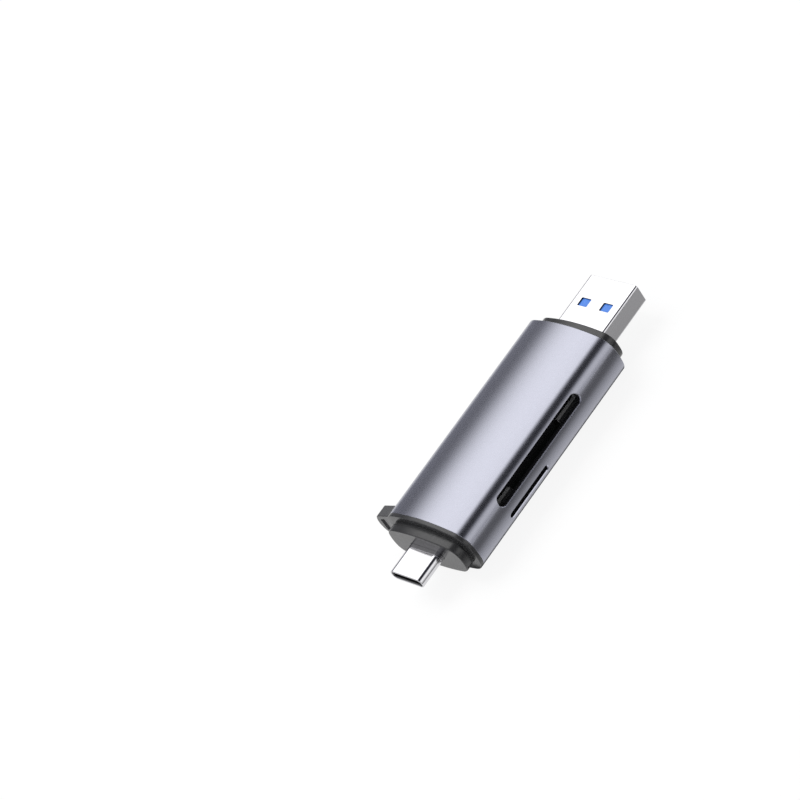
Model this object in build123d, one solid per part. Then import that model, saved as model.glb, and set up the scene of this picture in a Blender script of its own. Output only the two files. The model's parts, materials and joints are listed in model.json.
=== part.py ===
from build123d import *
from collections import namedtuple
from math import hypot, sqrt
import os

os.makedirs("parts", exist_ok=True)

# Millimetres. X runs towards the tip of the wide plug, +Z is up, and the cards enter from -Y.
# The origin is the centre of the nose face that the wide plug stands out of.

Oval = namedtuple("Oval", "half_width half_height top_radius side_radius corner_radius")
Socket = namedtuple("Socket", "side centre card_width floor ceiling back contact_count contact_pitch")

# Extruded sleeve
SLEEVE_LENGTH = 47.0
SLEEVE_HALF_WIDTH = 10.9
SLEEVE_HALF_HEIGHT = 5.95
SLEEVE_TOP_RADIUS = 32.3
SLEEVE_SIDE_RADIUS = 11.05
SLEEVE_CORNER_RADIUS = 3.85
SLEEVE_WALL = 1.0
SLEEVE_EDGE_BREAK = 0.12

# Card mouths milled in the sleeve, measured from its narrow-plug end and from mid height
LARGE_MOUTH_LENGTH = 26.1
LARGE_MOUTH_HEIGHT = 2.3
LARGE_MOUTH_INSET = 9.27
LARGE_MOUTH_RISE = 2.42
SMALL_MOUTH_LENGTH = 12.0
SMALL_MOUTH_HEIGHT = 1.09
SMALL_MOUTH_INSET = 9.67
SMALL_MOUTH_DROP = 1.525
MOUTH_EDGE_BREAK = 0.12

# End caps
NOSE_SIDE_INSET = 1.6
NOSE_TOP_INSET = 1.68
NOSE_TOP_RADIUS = 32.7
NOSE_SIDE_RADIUS = 8.0
NOSE_CORNER_RADIUS = 2.7
NOSE_EDGE_RADIUS = 0.2
A_NOSE_PROUD = 2.1
A_RING_RECESS = 0.25
C_FLANGE_THICKNESS = 0.75
C_NOSE_PROUD = 2.05
CAP_WALL = 1.0
SPIGOT_LENGTH = 2.8
SPIGOT_WALL = 0.8
SPIGOT_FIT = 0.05
PLUG_FIT = 0.05

# Strap lug on the narrow-plug cap
LUG_SETBACK = 0.27
LUG_THICKNESS = 2.65
LUG_PROUD = 3.7
LUG_CROWN = 0.74
LUG_SHOULDER_HALF = 2.31
LUG_ROOT_HALF = 4.06
LUG_ROOT_DEPTH = 1.9
LUG_CORNER_RADIUS = 0.35
LUG_SLEEVE_GAP = 0.06
LUG_RIM = 1.3
LUG_HOLE_WIDTH = 1.4
LUG_HOLE_OUTER_HALF = 1.6
LUG_HOLE_INNER_HALF = 2.15
LUG_HOLE_CORNER_RADIUS = 0.3

# Carrier halves
CARRIER_FIT = 0.1
CARRIER_WALL = 0.7
CARRIER_RAIL = 1.7
CARRIER_END_GAP = 0.1
LEDGE_DROP = 0.07
LEDGE_NARROW_END_LENGTH = 4.6
LEDGE_WIDE_END_LENGTH = 5.4
CARRIER_MOUTH_MARGIN = 0.12

# Circuit board
BOARD_THICKNESS = 0.8
BOARD_SIDE_GAP = 0.5
BOARD_CORNER = 0.8
BOARD_SLOT_FIT = 0.1

# Wide plug
A_PLUG_WIDTH = 12.0
A_PLUG_HEIGHT = 4.5
A_PLUG_EXPOSED = 12.15
A_SHELL_WALL = 0.3
A_SHELL_CORNER_RADIUS = 0.45
A_SHELL_TAIL = 7.2
A_SHELL_TAB_LENGTH = 2.8
A_SHELL_TAB_HEIGHT = 2.0
A_WINDOW_WIDTH = 2.4
A_WINDOW_LENGTH = 1.95
A_WINDOW_OFFSET = 2.77
A_WINDOW_SETBACK = 5.3
A_TONGUE_SETBACK = 0.35
A_TONGUE_SIDE_GAP = 0.06
A_TONGUE_NOSE_CHAMFER = 0.4
A_REAR_BLOCK_LENGTH = 5.8
A_REAR_BLOCK_INSET = 0.2
A_BOARD_GAP = 1.0
A_CONTACT_THICKNESS = 0.2
A_FRONT_WIDTH = 1.0
A_FRONT_INNER_OFFSET = 1.0
A_FRONT_OUTER_OFFSET = 3.5
A_FRONT_SETBACK = 1.1
A_REAR_WIDTH = 0.6
A_REAR_COUNT = 5
A_REAR_PITCH = 2.0
A_REAR_REACH = 3.4
A_REAR_DIP = 0.5
A_REAR_TIP_LENGTH = 0.8
A_REAR_BOW_LENGTH = 2.0
A_TAIL_LENGTH = 1.4

# Narrow plug
C_PLUG_WIDTH = 8.25
C_PLUG_HEIGHT = 2.4
C_PLUG_EXPOSED = 6.65
C_SHELL_WALL = 0.28
C_SHELL_TAIL = 5.9
C_SHELL_TAB_LENGTH = 2.1
C_SHELL_TAB_HEIGHT = 0.5
C_MOUTH_BREAK = 0.12
C_INSULATOR_FIT = 0.03
C_INSULATOR_SETBACK = 0.15
C_INSULATOR_TAIL_GAP = 0.15
C_CAVITY_SIDE_WALL = 0.365
C_CAVITY_DEPTH = 5.6
C_BOARD_GAP = 0.3
C_CONTACT_COUNT = 12
C_CONTACT_PITCH = 0.5
C_CONTACT_WIDTH = 0.26
C_CONTACT_THICKNESS = 0.12
C_CONTACT_SETBACK = 0.9
C_TAIL_LENGTH = 1.4
LATCH_THICKNESS = 0.16
LATCH_ARM_WIDTH = 0.3
LATCH_BASE_LENGTH = 1.9
LATCH_SETBACK = 1.3
LATCH_HOOK = 0.25
LATCH_HOOK_LENGTH = 0.6

# Card sockets
LARGE_CARD_WIDTH = 24.0
LARGE_CARD_THICKNESS = 2.1
LARGE_CONTACT_COUNT = 9
LARGE_CONTACT_PITCH = 2.4
LARGE_SOCKET_BACK_GAP = 1.1
SMALL_CARD_WIDTH = 11.0
SMALL_CARD_THICKNESS = 0.7
SMALL_CONTACT_COUNT = 8
SMALL_CONTACT_PITCH = 1.1
SMALL_SOCKET_BACK_GAP = 1.9
CARD_PLAY = 0.14
SOCKET_FRONT_GAP = 0.2
SOCKET_RAIL = 1.0
SOCKET_COVER = 0.2
SOCKET_BAY_GAP = 0.1
SOCKET_CONTACT_WIDTH = 0.6
SOCKET_CONTACT_THICKNESS = 0.2
SOCKET_CONTACT_SLOT_GAP = 0.1
SOCKET_CONTACT_REACH = 4.6
SOCKET_CONTACT_TIP = 0.8
SOCKET_CONTACT_PROUD = 0.12
SOCKET_CONTACT_TAIL = 0.8
COVER_SPRING_LENGTH = 5.0
COVER_SPRING_WIDTH = 1.6
COVER_SPRING_SLIT = 0.4
COVER_SPRING_SHARE = 0.3

# Parts soldered to the board
CHIP_SIZE = 7.0
CHIP_THICKNESS = 1.0
CHIP_STANDOFF = 0.1
CHIP_GAP = 3.59
CHIP_LEADS_PER_SIDE = 12
CHIP_LEAD_PITCH = 0.5
CHIP_LEAD_WIDTH = 0.22
CHIP_LEAD_THICKNESS = 0.13
CHIP_LEAD_SPAN = 9.0
CHIP_LEAD_FOOT = 0.6
REGULATOR_LENGTH = 1.6
REGULATOR_WIDTH = 2.9
REGULATOR_THICKNESS = 1.1
REGULATOR_GAP = 0.2
REGULATOR_SIDE_GAP = 0.65
REGULATOR_LEAD_SPAN = 2.8
REGULATOR_LEAD_WIDTH = 0.4
REGULATOR_LEAD_PITCH = 0.95
CRYSTAL_LENGTH = 3.2
CRYSTAL_WIDTH = 2.5
CRYSTAL_THICKNESS = 0.8
CRYSTAL_GAP = 0.39
CRYSTAL_SIDE_GAP = 1.45
CRYSTAL_CORNER = 0.3
CAPACITOR_LENGTH = 1.6
CAPACITOR_WIDTH = 0.8
CAPACITOR_THICKNESS = 0.8
CAPACITOR_STEP = 2.2
CAPACITOR_ROW_COUNT = 4
CAPACITOR_GAP = 1.7
RESISTOR_LENGTH = 1.0
RESISTOR_WIDTH = 0.5
RESISTOR_THICKNESS = 0.35
RESISTOR_STEP = 1.1
RESISTOR_ROW_COUNT = 6
RESISTOR_GAP = 0.5

# Stations along X
NOSE_FACE_A = 0.0
SLEEVE_END_A = NOSE_FACE_A - A_NOSE_PROUD
SLEEVE_END_C = SLEEVE_END_A - SLEEVE_LENGTH
FLANGE_FACE_C = SLEEVE_END_C - C_FLANGE_THICKNESS
NOSE_FACE_C = FLANGE_FACE_C - C_NOSE_PROUD
RING_FACE_A = SLEEVE_END_A - A_RING_RECESS
SPIGOT_END_A = RING_FACE_A - SPIGOT_LENGTH
SPIGOT_END_C = SLEEVE_END_C + SPIGOT_LENGTH
A_TIP = NOSE_FACE_A + A_PLUG_EXPOSED
A_SHELL_REAR = NOSE_FACE_A - A_SHELL_TAIL
C_TIP = NOSE_FACE_C - C_PLUG_EXPOSED
C_SHELL_REAR = NOSE_FACE_C + C_SHELL_TAIL
BOARD_END_A = A_SHELL_REAR - A_BOARD_GAP
BOARD_END_C = C_SHELL_REAR + C_BOARD_GAP
CARRIER_END_A = SPIGOT_END_A - CARRIER_END_GAP
CARRIER_END_C = SPIGOT_END_C + CARRIER_END_GAP
LARGE_CENTRE = SLEEVE_END_C + LARGE_MOUTH_INSET + LARGE_MOUTH_LENGTH / 2
SMALL_CENTRE = SLEEVE_END_C + SMALL_MOUTH_INSET + SMALL_MOUTH_LENGTH / 2

# Sections, heights and half widths shared by several pieces
SLEEVE_OVAL = Oval(
    SLEEVE_HALF_WIDTH,
    SLEEVE_HALF_HEIGHT,
    SLEEVE_TOP_RADIUS,
    SLEEVE_SIDE_RADIUS,
    SLEEVE_CORNER_RADIUS,
)
NOSE_OVAL = Oval(
    SLEEVE_HALF_WIDTH - NOSE_SIDE_INSET,
    SLEEVE_HALF_HEIGHT - NOSE_TOP_INSET,
    NOSE_TOP_RADIUS,
    NOSE_SIDE_RADIUS,
    NOSE_CORNER_RADIUS,
)
BOARD_TOP = BOARD_THICKNESS / 2
BOARD_HALF_WIDTH = SLEEVE_HALF_WIDTH - SLEEVE_WALL - BOARD_SIDE_GAP
CARRIER_BAY_HALF = SLEEVE_HALF_WIDTH - SLEEVE_WALL - CARRIER_FIT - CARRIER_RAIL
SOCKET_FRONT = SOCKET_FRONT_GAP - CARRIER_BAY_HALF
LUG_REACH = SLEEVE_HALF_WIDTH + LUG_PROUD
A_INNER_HALF_WIDTH = A_PLUG_WIDTH / 2 - A_SHELL_WALL
A_INNER_HALF_HEIGHT = A_PLUG_HEIGHT / 2 - A_SHELL_WALL
A_INNER_CORNER_RADIUS = A_SHELL_CORNER_RADIUS - A_SHELL_WALL
C_INSULATOR_INSET = C_SHELL_WALL + C_INSULATOR_FIT
C_CAVITY_WIDTH = C_PLUG_WIDTH - 2 * (C_INSULATOR_INSET + C_CAVITY_SIDE_WALL)
C_CAVITY_HALF_HEIGHT = BOARD_TOP + C_CONTACT_THICKNESS
FAR = 2 * SLEEVE_HALF_WIDTH

LARGE_SOCKET = Socket(
    side=1,
    centre=LARGE_CENTRE,
    card_width=LARGE_CARD_WIDTH,
    floor=LARGE_MOUTH_RISE - (LARGE_CARD_THICKNESS + CARD_PLAY) / 2 - BOARD_TOP,
    ceiling=LARGE_MOUTH_RISE + (LARGE_CARD_THICKNESS + CARD_PLAY) / 2 - BOARD_TOP,
    back=CARRIER_BAY_HALF - LARGE_SOCKET_BACK_GAP,
    contact_count=LARGE_CONTACT_COUNT,
    contact_pitch=LARGE_CONTACT_PITCH,
)
SMALL_SOCKET = Socket(
    side=-1,
    centre=SMALL_CENTRE,
    card_width=SMALL_CARD_WIDTH,
    floor=SMALL_MOUTH_DROP - (SMALL_CARD_THICKNESS + CARD_PLAY) / 2 - BOARD_TOP,
    ceiling=SMALL_MOUTH_DROP + (SMALL_CARD_THICKNESS + CARD_PLAY) / 2 - BOARD_TOP,
    back=CARRIER_BAY_HALF - SMALL_SOCKET_BACK_GAP,
    contact_count=SMALL_CONTACT_COUNT,
    contact_pitch=SMALL_CONTACT_PITCH,
)


def socket_half_width(socket):
    return socket.card_width / 2 + CARD_PLAY + SOCKET_RAIL + SOCKET_COVER


# Places of the soldered parts, kept clear of the sockets' ends and the wide plug's tabs
LARGE_SOCKET_HALF = socket_half_width(LARGE_SOCKET)
SMALL_SOCKET_END = SMALL_CENTRE + socket_half_width(SMALL_SOCKET)
CHIP_CENTRE = (SMALL_SOCKET_END + CHIP_GAP + CHIP_LEAD_SPAN / 2, 0)
CRYSTAL_CENTRE = (
    SMALL_SOCKET_END + CRYSTAL_GAP + CRYSTAL_LENGTH / 2,
    CARRIER_BAY_HALF - CRYSTAL_SIDE_GAP - CRYSTAL_WIDTH / 2,
)
REGULATOR_CENTRE = (
    A_SHELL_REAR - A_SHELL_TAB_LENGTH - REGULATOR_GAP - REGULATOR_LEAD_SPAN / 2,
    REGULATOR_SIDE_GAP + REGULATOR_WIDTH / 2 - CARRIER_BAY_HALF,
)
CAPACITOR_ROW_Y = CHIP_LEAD_SPAN / 2 + CAPACITOR_GAP + CAPACITOR_WIDTH / 2
RESISTOR_ROW_X = (
    LARGE_CENTRE - LARGE_SOCKET_HALF - RESISTOR_GAP - RESISTOR_LENGTH / 2,
    LARGE_CENTRE + LARGE_SOCKET_HALF + RESISTOR_GAP + RESISTOR_LENGTH / 2,
)

CHIP_SHAPE = (CHIP_SIZE, CHIP_SIZE, CHIP_THICKNESS)
REGULATOR_SHAPE = (REGULATOR_LENGTH, REGULATOR_WIDTH, REGULATOR_THICKNESS)
CRYSTAL_SHAPE = (CRYSTAL_LENGTH, CRYSTAL_WIDTH, CRYSTAL_THICKNESS)
CAPACITOR_SHAPE = (CAPACITOR_LENGTH, CAPACITOR_WIDTH, CAPACITOR_THICKNESS)
RESISTOR_SHAPE = (RESISTOR_LENGTH, RESISTOR_WIDTH, RESISTOR_THICKNESS)


def block(x, y, z):
    """Box between two coordinates on each axis."""
    lows = [min(pair) for pair in (x, y, z)]
    spans = [abs(pair[1] - pair[0]) for pair in (x, y, z)]
    return Location(lows) * Box(*spans, align=(Align.MIN, Align.MIN, Align.MIN))


def above_board(side, low, high):
    """Z pair of two heights over the board's face on the given side."""
    return (side * (BOARD_TOP + low), side * (BOARD_TOP + high))


def inset(oval, distance):
    """The same oval moved inwards by a distance all round."""
    return Oval(*(value - distance for value in oval))


def oval_face(oval):
    """Closed section of eight tangent arcs: flat-arched faces, round sides and four corners."""
    top_centre = (0, oval.half_height - oval.top_radius)
    side_centre = (oval.half_width - oval.side_radius, 0)
    to_top = oval.top_radius - oval.corner_radius
    to_side = oval.side_radius - oval.corner_radius
    run = (side_centre[0] - top_centre[0], side_centre[1] - top_centre[1])
    gap = hypot(*run)
    along = (to_top**2 - to_side**2 + gap**2) / (2 * gap)
    across = sqrt(to_top**2 - along**2)
    unit = (run[0] / gap, run[1] / gap)
    corner = (
        top_centre[0] + unit[0] * along + abs(unit[1]) * across,
        top_centre[1] + unit[1] * along - unit[0] * across,
    )

    def reach(centre, target, radius):
        away = (target[0] - centre[0], target[1] - centre[1])
        length = hypot(*away)
        return (centre[0] + away[0] / length * radius, centre[1] + away[1] / length * radius)

    top_end = reach(top_centre, corner, oval.top_radius)
    side_end = reach(side_centre, corner, oval.side_radius)
    middle = ((top_end[0] + side_end[0]) / 2, (top_end[1] + side_end[1]) / 2)
    corner_middle = reach(corner, middle, oval.corner_radius)
    edges = []
    for turn_y, turn_z in ((1, 1), (-1, -1)):
        edges.append(
            ThreePointArc(
                (-turn_y * top_end[0], turn_z * top_end[1]),
                (0, turn_z * oval.half_height),
                (turn_y * top_end[0], turn_z * top_end[1]),
            )
        )
        edges.append(
            ThreePointArc(
                (turn_y * side_end[0], turn_z * side_end[1]),
                (turn_y * oval.half_width, 0),
                (turn_y * side_end[0], -turn_z * side_end[1]),
            )
        )
    for turn_y in (1, -1):
        for turn_z in (1, -1):
            edges.append(
                ThreePointArc(
                    (turn_y * top_end[0], turn_z * top_end[1]),
                    (turn_y * corner_middle[0], turn_z * corner_middle[1]),
                    (turn_y * side_end[0], turn_z * side_end[1]),
                )
            )
    return make_face(edges)


def prism(face, x_start, x_end):
    """A section drawn in Y and Z, carried along X."""
    low = min(x_start, x_end)
    return extrude(Plane.YZ.offset(low) * face, amount=abs(x_end - x_start))


def oval_prism(oval, x_start, x_end):
    return prism(oval_face(oval), x_start, x_end)


def strip(points, thickness, width):
    """Flat strip along X that follows (x, z) points, centred on Y."""
    upper = [(x, z + thickness / 2) for x, z in points]
    lower = [(x, z - thickness / 2) for x, z in reversed(points)]
    profile = Plane.XZ * Polygon(*upper, *lower, align=None)
    return extrude(profile, amount=width / 2, both=True)


def mouth_cutter(centre, height_above_middle, length, height):
    """Round-ended cutter that runs out through the -Y wall."""
    profile = Plane.XZ * SlotOverall(length, height)
    return Location((centre, 0, height_above_middle)) * extrude(profile, amount=FAR)


def mouth_rims(solid):
    """Edges where the two card mouths break the outer surface."""
    rims = []
    mouths = (
        (LARGE_CENTRE, LARGE_MOUTH_LENGTH, LARGE_MOUTH_RISE, LARGE_MOUTH_HEIGHT),
        (SMALL_CENTRE, SMALL_MOUTH_LENGTH, -SMALL_MOUTH_DROP, SMALL_MOUTH_HEIGHT),
    )
    for edge in solid.edges():
        centre = edge.center(CenterOf.BOUNDING_BOX)
        for middle, length, rise, height in mouths:
            off_middle = abs(centre.Z - rise)
            in_length = abs(centre.X - middle) <= length / 2 + SLEEVE_EDGE_BREAK
            in_height = off_middle <= height / 2 + SLEEVE_EDGE_BREAK
            is_seam = edge.geom_type == GeomType.LINE and off_middle < height / 2 - SLEEVE_EDGE_BREAK
            if in_length and in_height and centre.Y < -SLEEVE_HALF_WIDTH / 2 and not is_seam:
                rims.append(edge)
    return rims


def make_sleeve():
    outer = oval_prism(SLEEVE_OVAL, SLEEVE_END_C, SLEEVE_END_A)
    end_edges = outer.edges().filter_by(GeomType.CIRCLE)
    outer = chamfer(end_edges.group_by(Axis.X)[0] + end_edges.group_by(Axis.X)[-1], SLEEVE_EDGE_BREAK)
    outer -= mouth_cutter(LARGE_CENTRE, LARGE_MOUTH_RISE, LARGE_MOUTH_LENGTH, LARGE_MOUTH_HEIGHT)
    outer -= mouth_cutter(SMALL_CENTRE, -SMALL_MOUTH_DROP, SMALL_MOUTH_LENGTH, SMALL_MOUTH_HEIGHT)
    outer = chamfer(mouth_rims(outer), MOUTH_EDGE_BREAK)
    return outer - oval_prism(inset(SLEEVE_OVAL, SLEEVE_WALL), SLEEVE_END_C, SLEEVE_END_A)


def plug_hole(width, height, corner_radius, x_start, x_end):
    section = RectangleRounded(width + 2 * PLUG_FIT, height + 2 * PLUG_FIT, corner_radius + PLUG_FIT)
    return prism(section, x_start, x_end)


def nose_block(x_root, x_face):
    """Oval nose with its outer edge rounded over."""
    nose = oval_prism(NOSE_OVAL, x_root, x_face)
    faces = nose.faces().sort_by(Axis.X)
    face = faces[-1] if x_face > x_root else faces[0]
    return fillet(face.edges(), NOSE_EDGE_RADIUS)


def make_a_cap():
    spigot_oval = inset(SLEEVE_OVAL, SLEEVE_WALL + SPIGOT_FIT)
    cap = nose_block(RING_FACE_A, NOSE_FACE_A)
    cap += oval_prism(spigot_oval, SPIGOT_END_A, RING_FACE_A)
    cap -= oval_prism(inset(NOSE_OVAL, CAP_WALL), SPIGOT_END_A, NOSE_FACE_A - CAP_WALL)
    cap -= oval_prism(inset(spigot_oval, SPIGOT_WALL), SPIGOT_END_A, RING_FACE_A - CAP_WALL)
    cap -= plug_hole(A_PLUG_WIDTH, A_PLUG_HEIGHT, A_SHELL_CORNER_RADIUS, SPIGOT_END_A, NOSE_FACE_A)
    return cap


def lug_face():
    """Tapered lug with a crowned outer edge, drawn in Y and Z."""
    root = SLEEVE_HALF_WIDTH - LUG_ROOT_DEPTH
    shoulder = LUG_REACH - LUG_CROWN
    outline = [
        Line((root, -LUG_ROOT_HALF), (root, LUG_ROOT_HALF)),
        Line((root, LUG_ROOT_HALF), (shoulder, LUG_SHOULDER_HALF)),
        ThreePointArc((shoulder, LUG_SHOULDER_HALF), (LUG_REACH, 0), (shoulder, -LUG_SHOULDER_HALF)),
        Line((shoulder, -LUG_SHOULDER_HALF), (root, -LUG_ROOT_HALF)),
    ]
    face = make_face(outline)
    corners = face.vertices().group_by(Axis.X)[-1]
    return fillet(corners, LUG_CORNER_RADIUS)


def lug_hole_face():
    outer = LUG_REACH - LUG_RIM
    inner = outer - LUG_HOLE_WIDTH
    hole = Polygon(
        (outer, LUG_HOLE_OUTER_HALF),
        (inner, LUG_HOLE_INNER_HALF),
        (inner, -LUG_HOLE_INNER_HALF),
        (outer, -LUG_HOLE_OUTER_HALF),
        align=None,
    )
    return fillet(hole.vertices(), LUG_HOLE_CORNER_RADIUS)


def make_lug():
    """Lug seated on the flange's rim, with its inner face just clear of the sleeve."""
    start = FLANGE_FACE_C + LUG_SETBACK
    end = start + LUG_THICKNESS
    lug = prism(lug_face(), start, end)
    lug -= oval_prism(SLEEVE_OVAL, start, SLEEVE_END_C)
    lug -= oval_prism(inset(SLEEVE_OVAL, -LUG_SLEEVE_GAP), SLEEVE_END_C, end)
    return lug - prism(lug_hole_face(), start, end)


def make_c_cap():
    spigot_oval = inset(SLEEVE_OVAL, SLEEVE_WALL + SPIGOT_FIT)
    cap = nose_block(FLANGE_FACE_C, NOSE_FACE_C)
    cap += oval_prism(SLEEVE_OVAL, FLANGE_FACE_C, SLEEVE_END_C)
    cap += oval_prism(spigot_oval, SLEEVE_END_C, SPIGOT_END_C)
    cap -= oval_prism(inset(NOSE_OVAL, CAP_WALL), NOSE_FACE_C + CAP_WALL, SPIGOT_END_C)
    cap -= oval_prism(inset(spigot_oval, SPIGOT_WALL), SLEEVE_END_C + CAP_WALL, SPIGOT_END_C)
    cap -= plug_hole(C_PLUG_WIDTH, C_PLUG_HEIGHT, C_PLUG_HEIGHT / 2 - PLUG_FIT, NOSE_FACE_C, SPIGOT_END_C)
    return cap


def carrier_half(side):
    """Half shell that lines the sleeve on one side of the board, with thick rails along its edges."""
    outer_oval = inset(SLEEVE_OVAL, SLEEVE_WALL + CARRIER_FIT)
    shell = oval_prism(outer_oval, CARRIER_END_C, CARRIER_END_A)
    hollow = oval_prism(inset(outer_oval, CARRIER_WALL), CARRIER_END_C, CARRIER_END_A)
    hollow &= block((CARRIER_END_C, CARRIER_END_A), (-CARRIER_BAY_HALF, CARRIER_BAY_HALF), (-FAR, FAR))
    keep = block((CARRIER_END_C, CARRIER_END_A), (-FAR, FAR), (side * BOARD_TOP, side * FAR))
    return (shell - hollow) & keep


def make_upper_carrier():
    carrier = carrier_half(1)
    bay = LARGE_SOCKET_HALF + SOCKET_BAY_GAP
    bay_x = (LARGE_CENTRE - bay, LARGE_CENTRE + bay)
    mouth_start = LARGE_CENTRE - LARGE_MOUTH_LENGTH / 2
    mouth_end = LARGE_CENTRE + LARGE_MOUTH_LENGTH / 2
    ledge_top = LARGE_MOUTH_RISE - LARGE_MOUTH_HEIGHT / 2 - LEDGE_DROP
    carrier -= block(bay_x, (-CARRIER_BAY_HALF, CARRIER_BAY_HALF), (BOARD_TOP, FAR))
    mouth_x = (mouth_start - CARRIER_MOUTH_MARGIN, mouth_end + CARRIER_MOUTH_MARGIN)
    carrier -= block(mouth_x, (-FAR, 0), (ledge_top, FAR))
    gap_x = (mouth_start + LEDGE_NARROW_END_LENGTH, mouth_end - LEDGE_WIDE_END_LENGTH)
    return carrier - block(gap_x, (-FAR, 0), (BOARD_TOP, FAR))


def make_lower_carrier():
    half = SMALL_MOUTH_LENGTH / 2 + CARRIER_MOUTH_MARGIN
    low = -SMALL_MOUTH_DROP - SMALL_MOUTH_HEIGHT / 2 - CARRIER_MOUTH_MARGIN
    high = -SMALL_MOUTH_DROP + SMALL_MOUTH_HEIGHT / 2 + CARRIER_MOUTH_MARGIN
    mouth = block((SMALL_CENTRE - half, SMALL_CENTRE + half), (-FAR, 0), (low, high))
    return carrier_half(-1) - mouth


def tab_slots(x_edge, tab_end, outer_half, wall):
    """Pair of slots in the board's end that take a shell's side tabs."""
    slots = []
    for turn in (1, -1):
        inner = turn * (outer_half - wall - BOARD_SLOT_FIT)
        outer = turn * (outer_half + BOARD_SLOT_FIT)
        slots.append(block((x_edge, tab_end), (inner, outer), (-BOARD_THICKNESS, BOARD_THICKNESS)))
    return slots


def make_board():
    board_y = (-BOARD_HALF_WIDTH, BOARD_HALF_WIDTH)
    board = block((BOARD_END_C, BOARD_END_A), board_y, (-BOARD_TOP, BOARD_TOP))
    board = chamfer(board.edges().filter_by(Axis.Z), BOARD_CORNER)
    a_tab_end = A_SHELL_REAR - A_SHELL_TAB_LENGTH - BOARD_SLOT_FIT
    c_tab_end = C_SHELL_REAR + C_SHELL_TAB_LENGTH + BOARD_SLOT_FIT
    cutters = tab_slots(BOARD_END_A, a_tab_end, A_PLUG_WIDTH / 2, A_SHELL_WALL)
    cutters += tab_slots(BOARD_END_C, c_tab_end, C_PLUG_WIDTH / 2, C_SHELL_WALL)
    for cutter in cutters:
        board -= cutter
    return board


def side_tabs(x_root, x_end, outer_half, wall, height):
    tabs = []
    for turn in (1, -1):
        span = (turn * (outer_half - wall), turn * outer_half)
        tabs.append(block((x_root, x_end), span, (-height / 2, height / 2)))
    return tabs


def make_a_shell():
    outer = RectangleRounded(A_PLUG_WIDTH, A_PLUG_HEIGHT, A_SHELL_CORNER_RADIUS)
    inner = RectangleRounded(2 * A_INNER_HALF_WIDTH, 2 * A_INNER_HALF_HEIGHT, A_INNER_CORNER_RADIUS)
    shell = prism(outer - inner, A_SHELL_REAR, A_TIP)
    window_near = A_TIP - A_WINDOW_SETBACK
    window_x = (window_near - A_WINDOW_LENGTH, window_near)
    for middle in (A_WINDOW_OFFSET, -A_WINDOW_OFFSET):
        window_y = (middle - A_WINDOW_WIDTH / 2, middle + A_WINDOW_WIDTH / 2)
        shell -= block(window_x, window_y, (-A_PLUG_HEIGHT, A_PLUG_HEIGHT))
    for tab in side_tabs(
        A_SHELL_REAR, A_SHELL_REAR - A_SHELL_TAB_LENGTH, A_PLUG_WIDTH / 2, A_SHELL_WALL, A_SHELL_TAB_HEIGHT
    ):
        shell += tab
    return shell


def make_a_tongue():
    half_width = A_INNER_HALF_WIDTH - A_TONGUE_SIDE_GAP
    rear = A_SHELL_REAR + A_REAR_BLOCK_INSET
    tongue = block((rear, A_TIP - A_TONGUE_SETBACK), (-half_width, half_width), (0, A_INNER_HALF_HEIGHT))
    nose_edge = tongue.edges().filter_by(Axis.Y).group_by(Axis.X)[-1].sort_by(Axis.Z)[0]
    tongue = chamfer(nose_edge, A_TONGUE_NOSE_CHAMFER)
    return fillet(tongue.edges().filter_by(Axis.X).group_by(Axis.Z)[-1], A_INNER_CORNER_RADIUS)


def make_a_front_contacts():
    middle = -A_CONTACT_THICKNESS / 2
    tail = BOARD_TOP + A_CONTACT_THICKNESS / 2
    bend_end = BOARD_END_A + A_CONTACT_THICKNESS
    points = [
        (A_TIP - A_TONGUE_SETBACK - A_FRONT_SETBACK, middle),
        (A_SHELL_REAR, middle),
        (bend_end, tail),
        (BOARD_END_A - A_TAIL_LENGTH, tail),
    ]
    contact = strip(points, A_CONTACT_THICKNESS, A_FRONT_WIDTH)
    offsets = (A_FRONT_INNER_OFFSET, A_FRONT_OUTER_OFFSET)
    return [Location((0, turn * offset, 0)) * contact for turn in (1, -1) for offset in offsets]


def make_a_rear_contacts():
    middle = -BOARD_TOP - A_CONTACT_THICKNESS / 2
    reach = NOSE_FACE_A + A_REAR_REACH
    points = [
        (reach, middle - A_CONTACT_THICKNESS),
        (reach - A_REAR_TIP_LENGTH, middle - A_REAR_DIP),
        (reach - A_REAR_BOW_LENGTH, middle),
        (BOARD_END_A - A_TAIL_LENGTH, middle),
    ]
    contact = strip(points, A_CONTACT_THICKNESS, A_REAR_WIDTH)
    first = -(A_REAR_COUNT - 1) / 2 * A_REAR_PITCH
    return [Location((0, first + n * A_REAR_PITCH, 0)) * contact for n in range(A_REAR_COUNT)]


def make_a_rear_block():
    half_width = A_INNER_HALF_WIDTH - A_TONGUE_SIDE_GAP
    rear = A_SHELL_REAR + A_REAR_BLOCK_INSET
    front = rear + A_REAR_BLOCK_LENGTH
    solid = block((rear, front), (-half_width, half_width), (-A_INNER_HALF_HEIGHT, -A_CONTACT_THICKNESS))
    solid = fillet(solid.edges().filter_by(Axis.X).group_by(Axis.Z)[0], A_INNER_CORNER_RADIUS)
    for contact in make_a_rear_contacts():
        solid -= contact
    return solid


def pill(width, height):
    """Rounded section whose ends are half circles."""
    return SlotOverall(width, height)


def make_c_shell():
    outer = prism(pill(C_PLUG_WIDTH, C_PLUG_HEIGHT), C_TIP, C_SHELL_REAR)
    tip_edges = outer.faces().sort_by(Axis.X)[0].edges()
    outer = chamfer(tip_edges, C_MOUTH_BREAK)
    inner = pill(C_PLUG_WIDTH - 2 * C_SHELL_WALL, C_PLUG_HEIGHT - 2 * C_SHELL_WALL)
    shell = outer - prism(inner, C_TIP, C_SHELL_REAR)
    for tab in side_tabs(
        C_SHELL_REAR, C_SHELL_REAR + C_SHELL_TAB_LENGTH, C_PLUG_WIDTH / 2, C_SHELL_WALL, C_SHELL_TAB_HEIGHT
    ):
        shell += tab
    return shell


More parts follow.
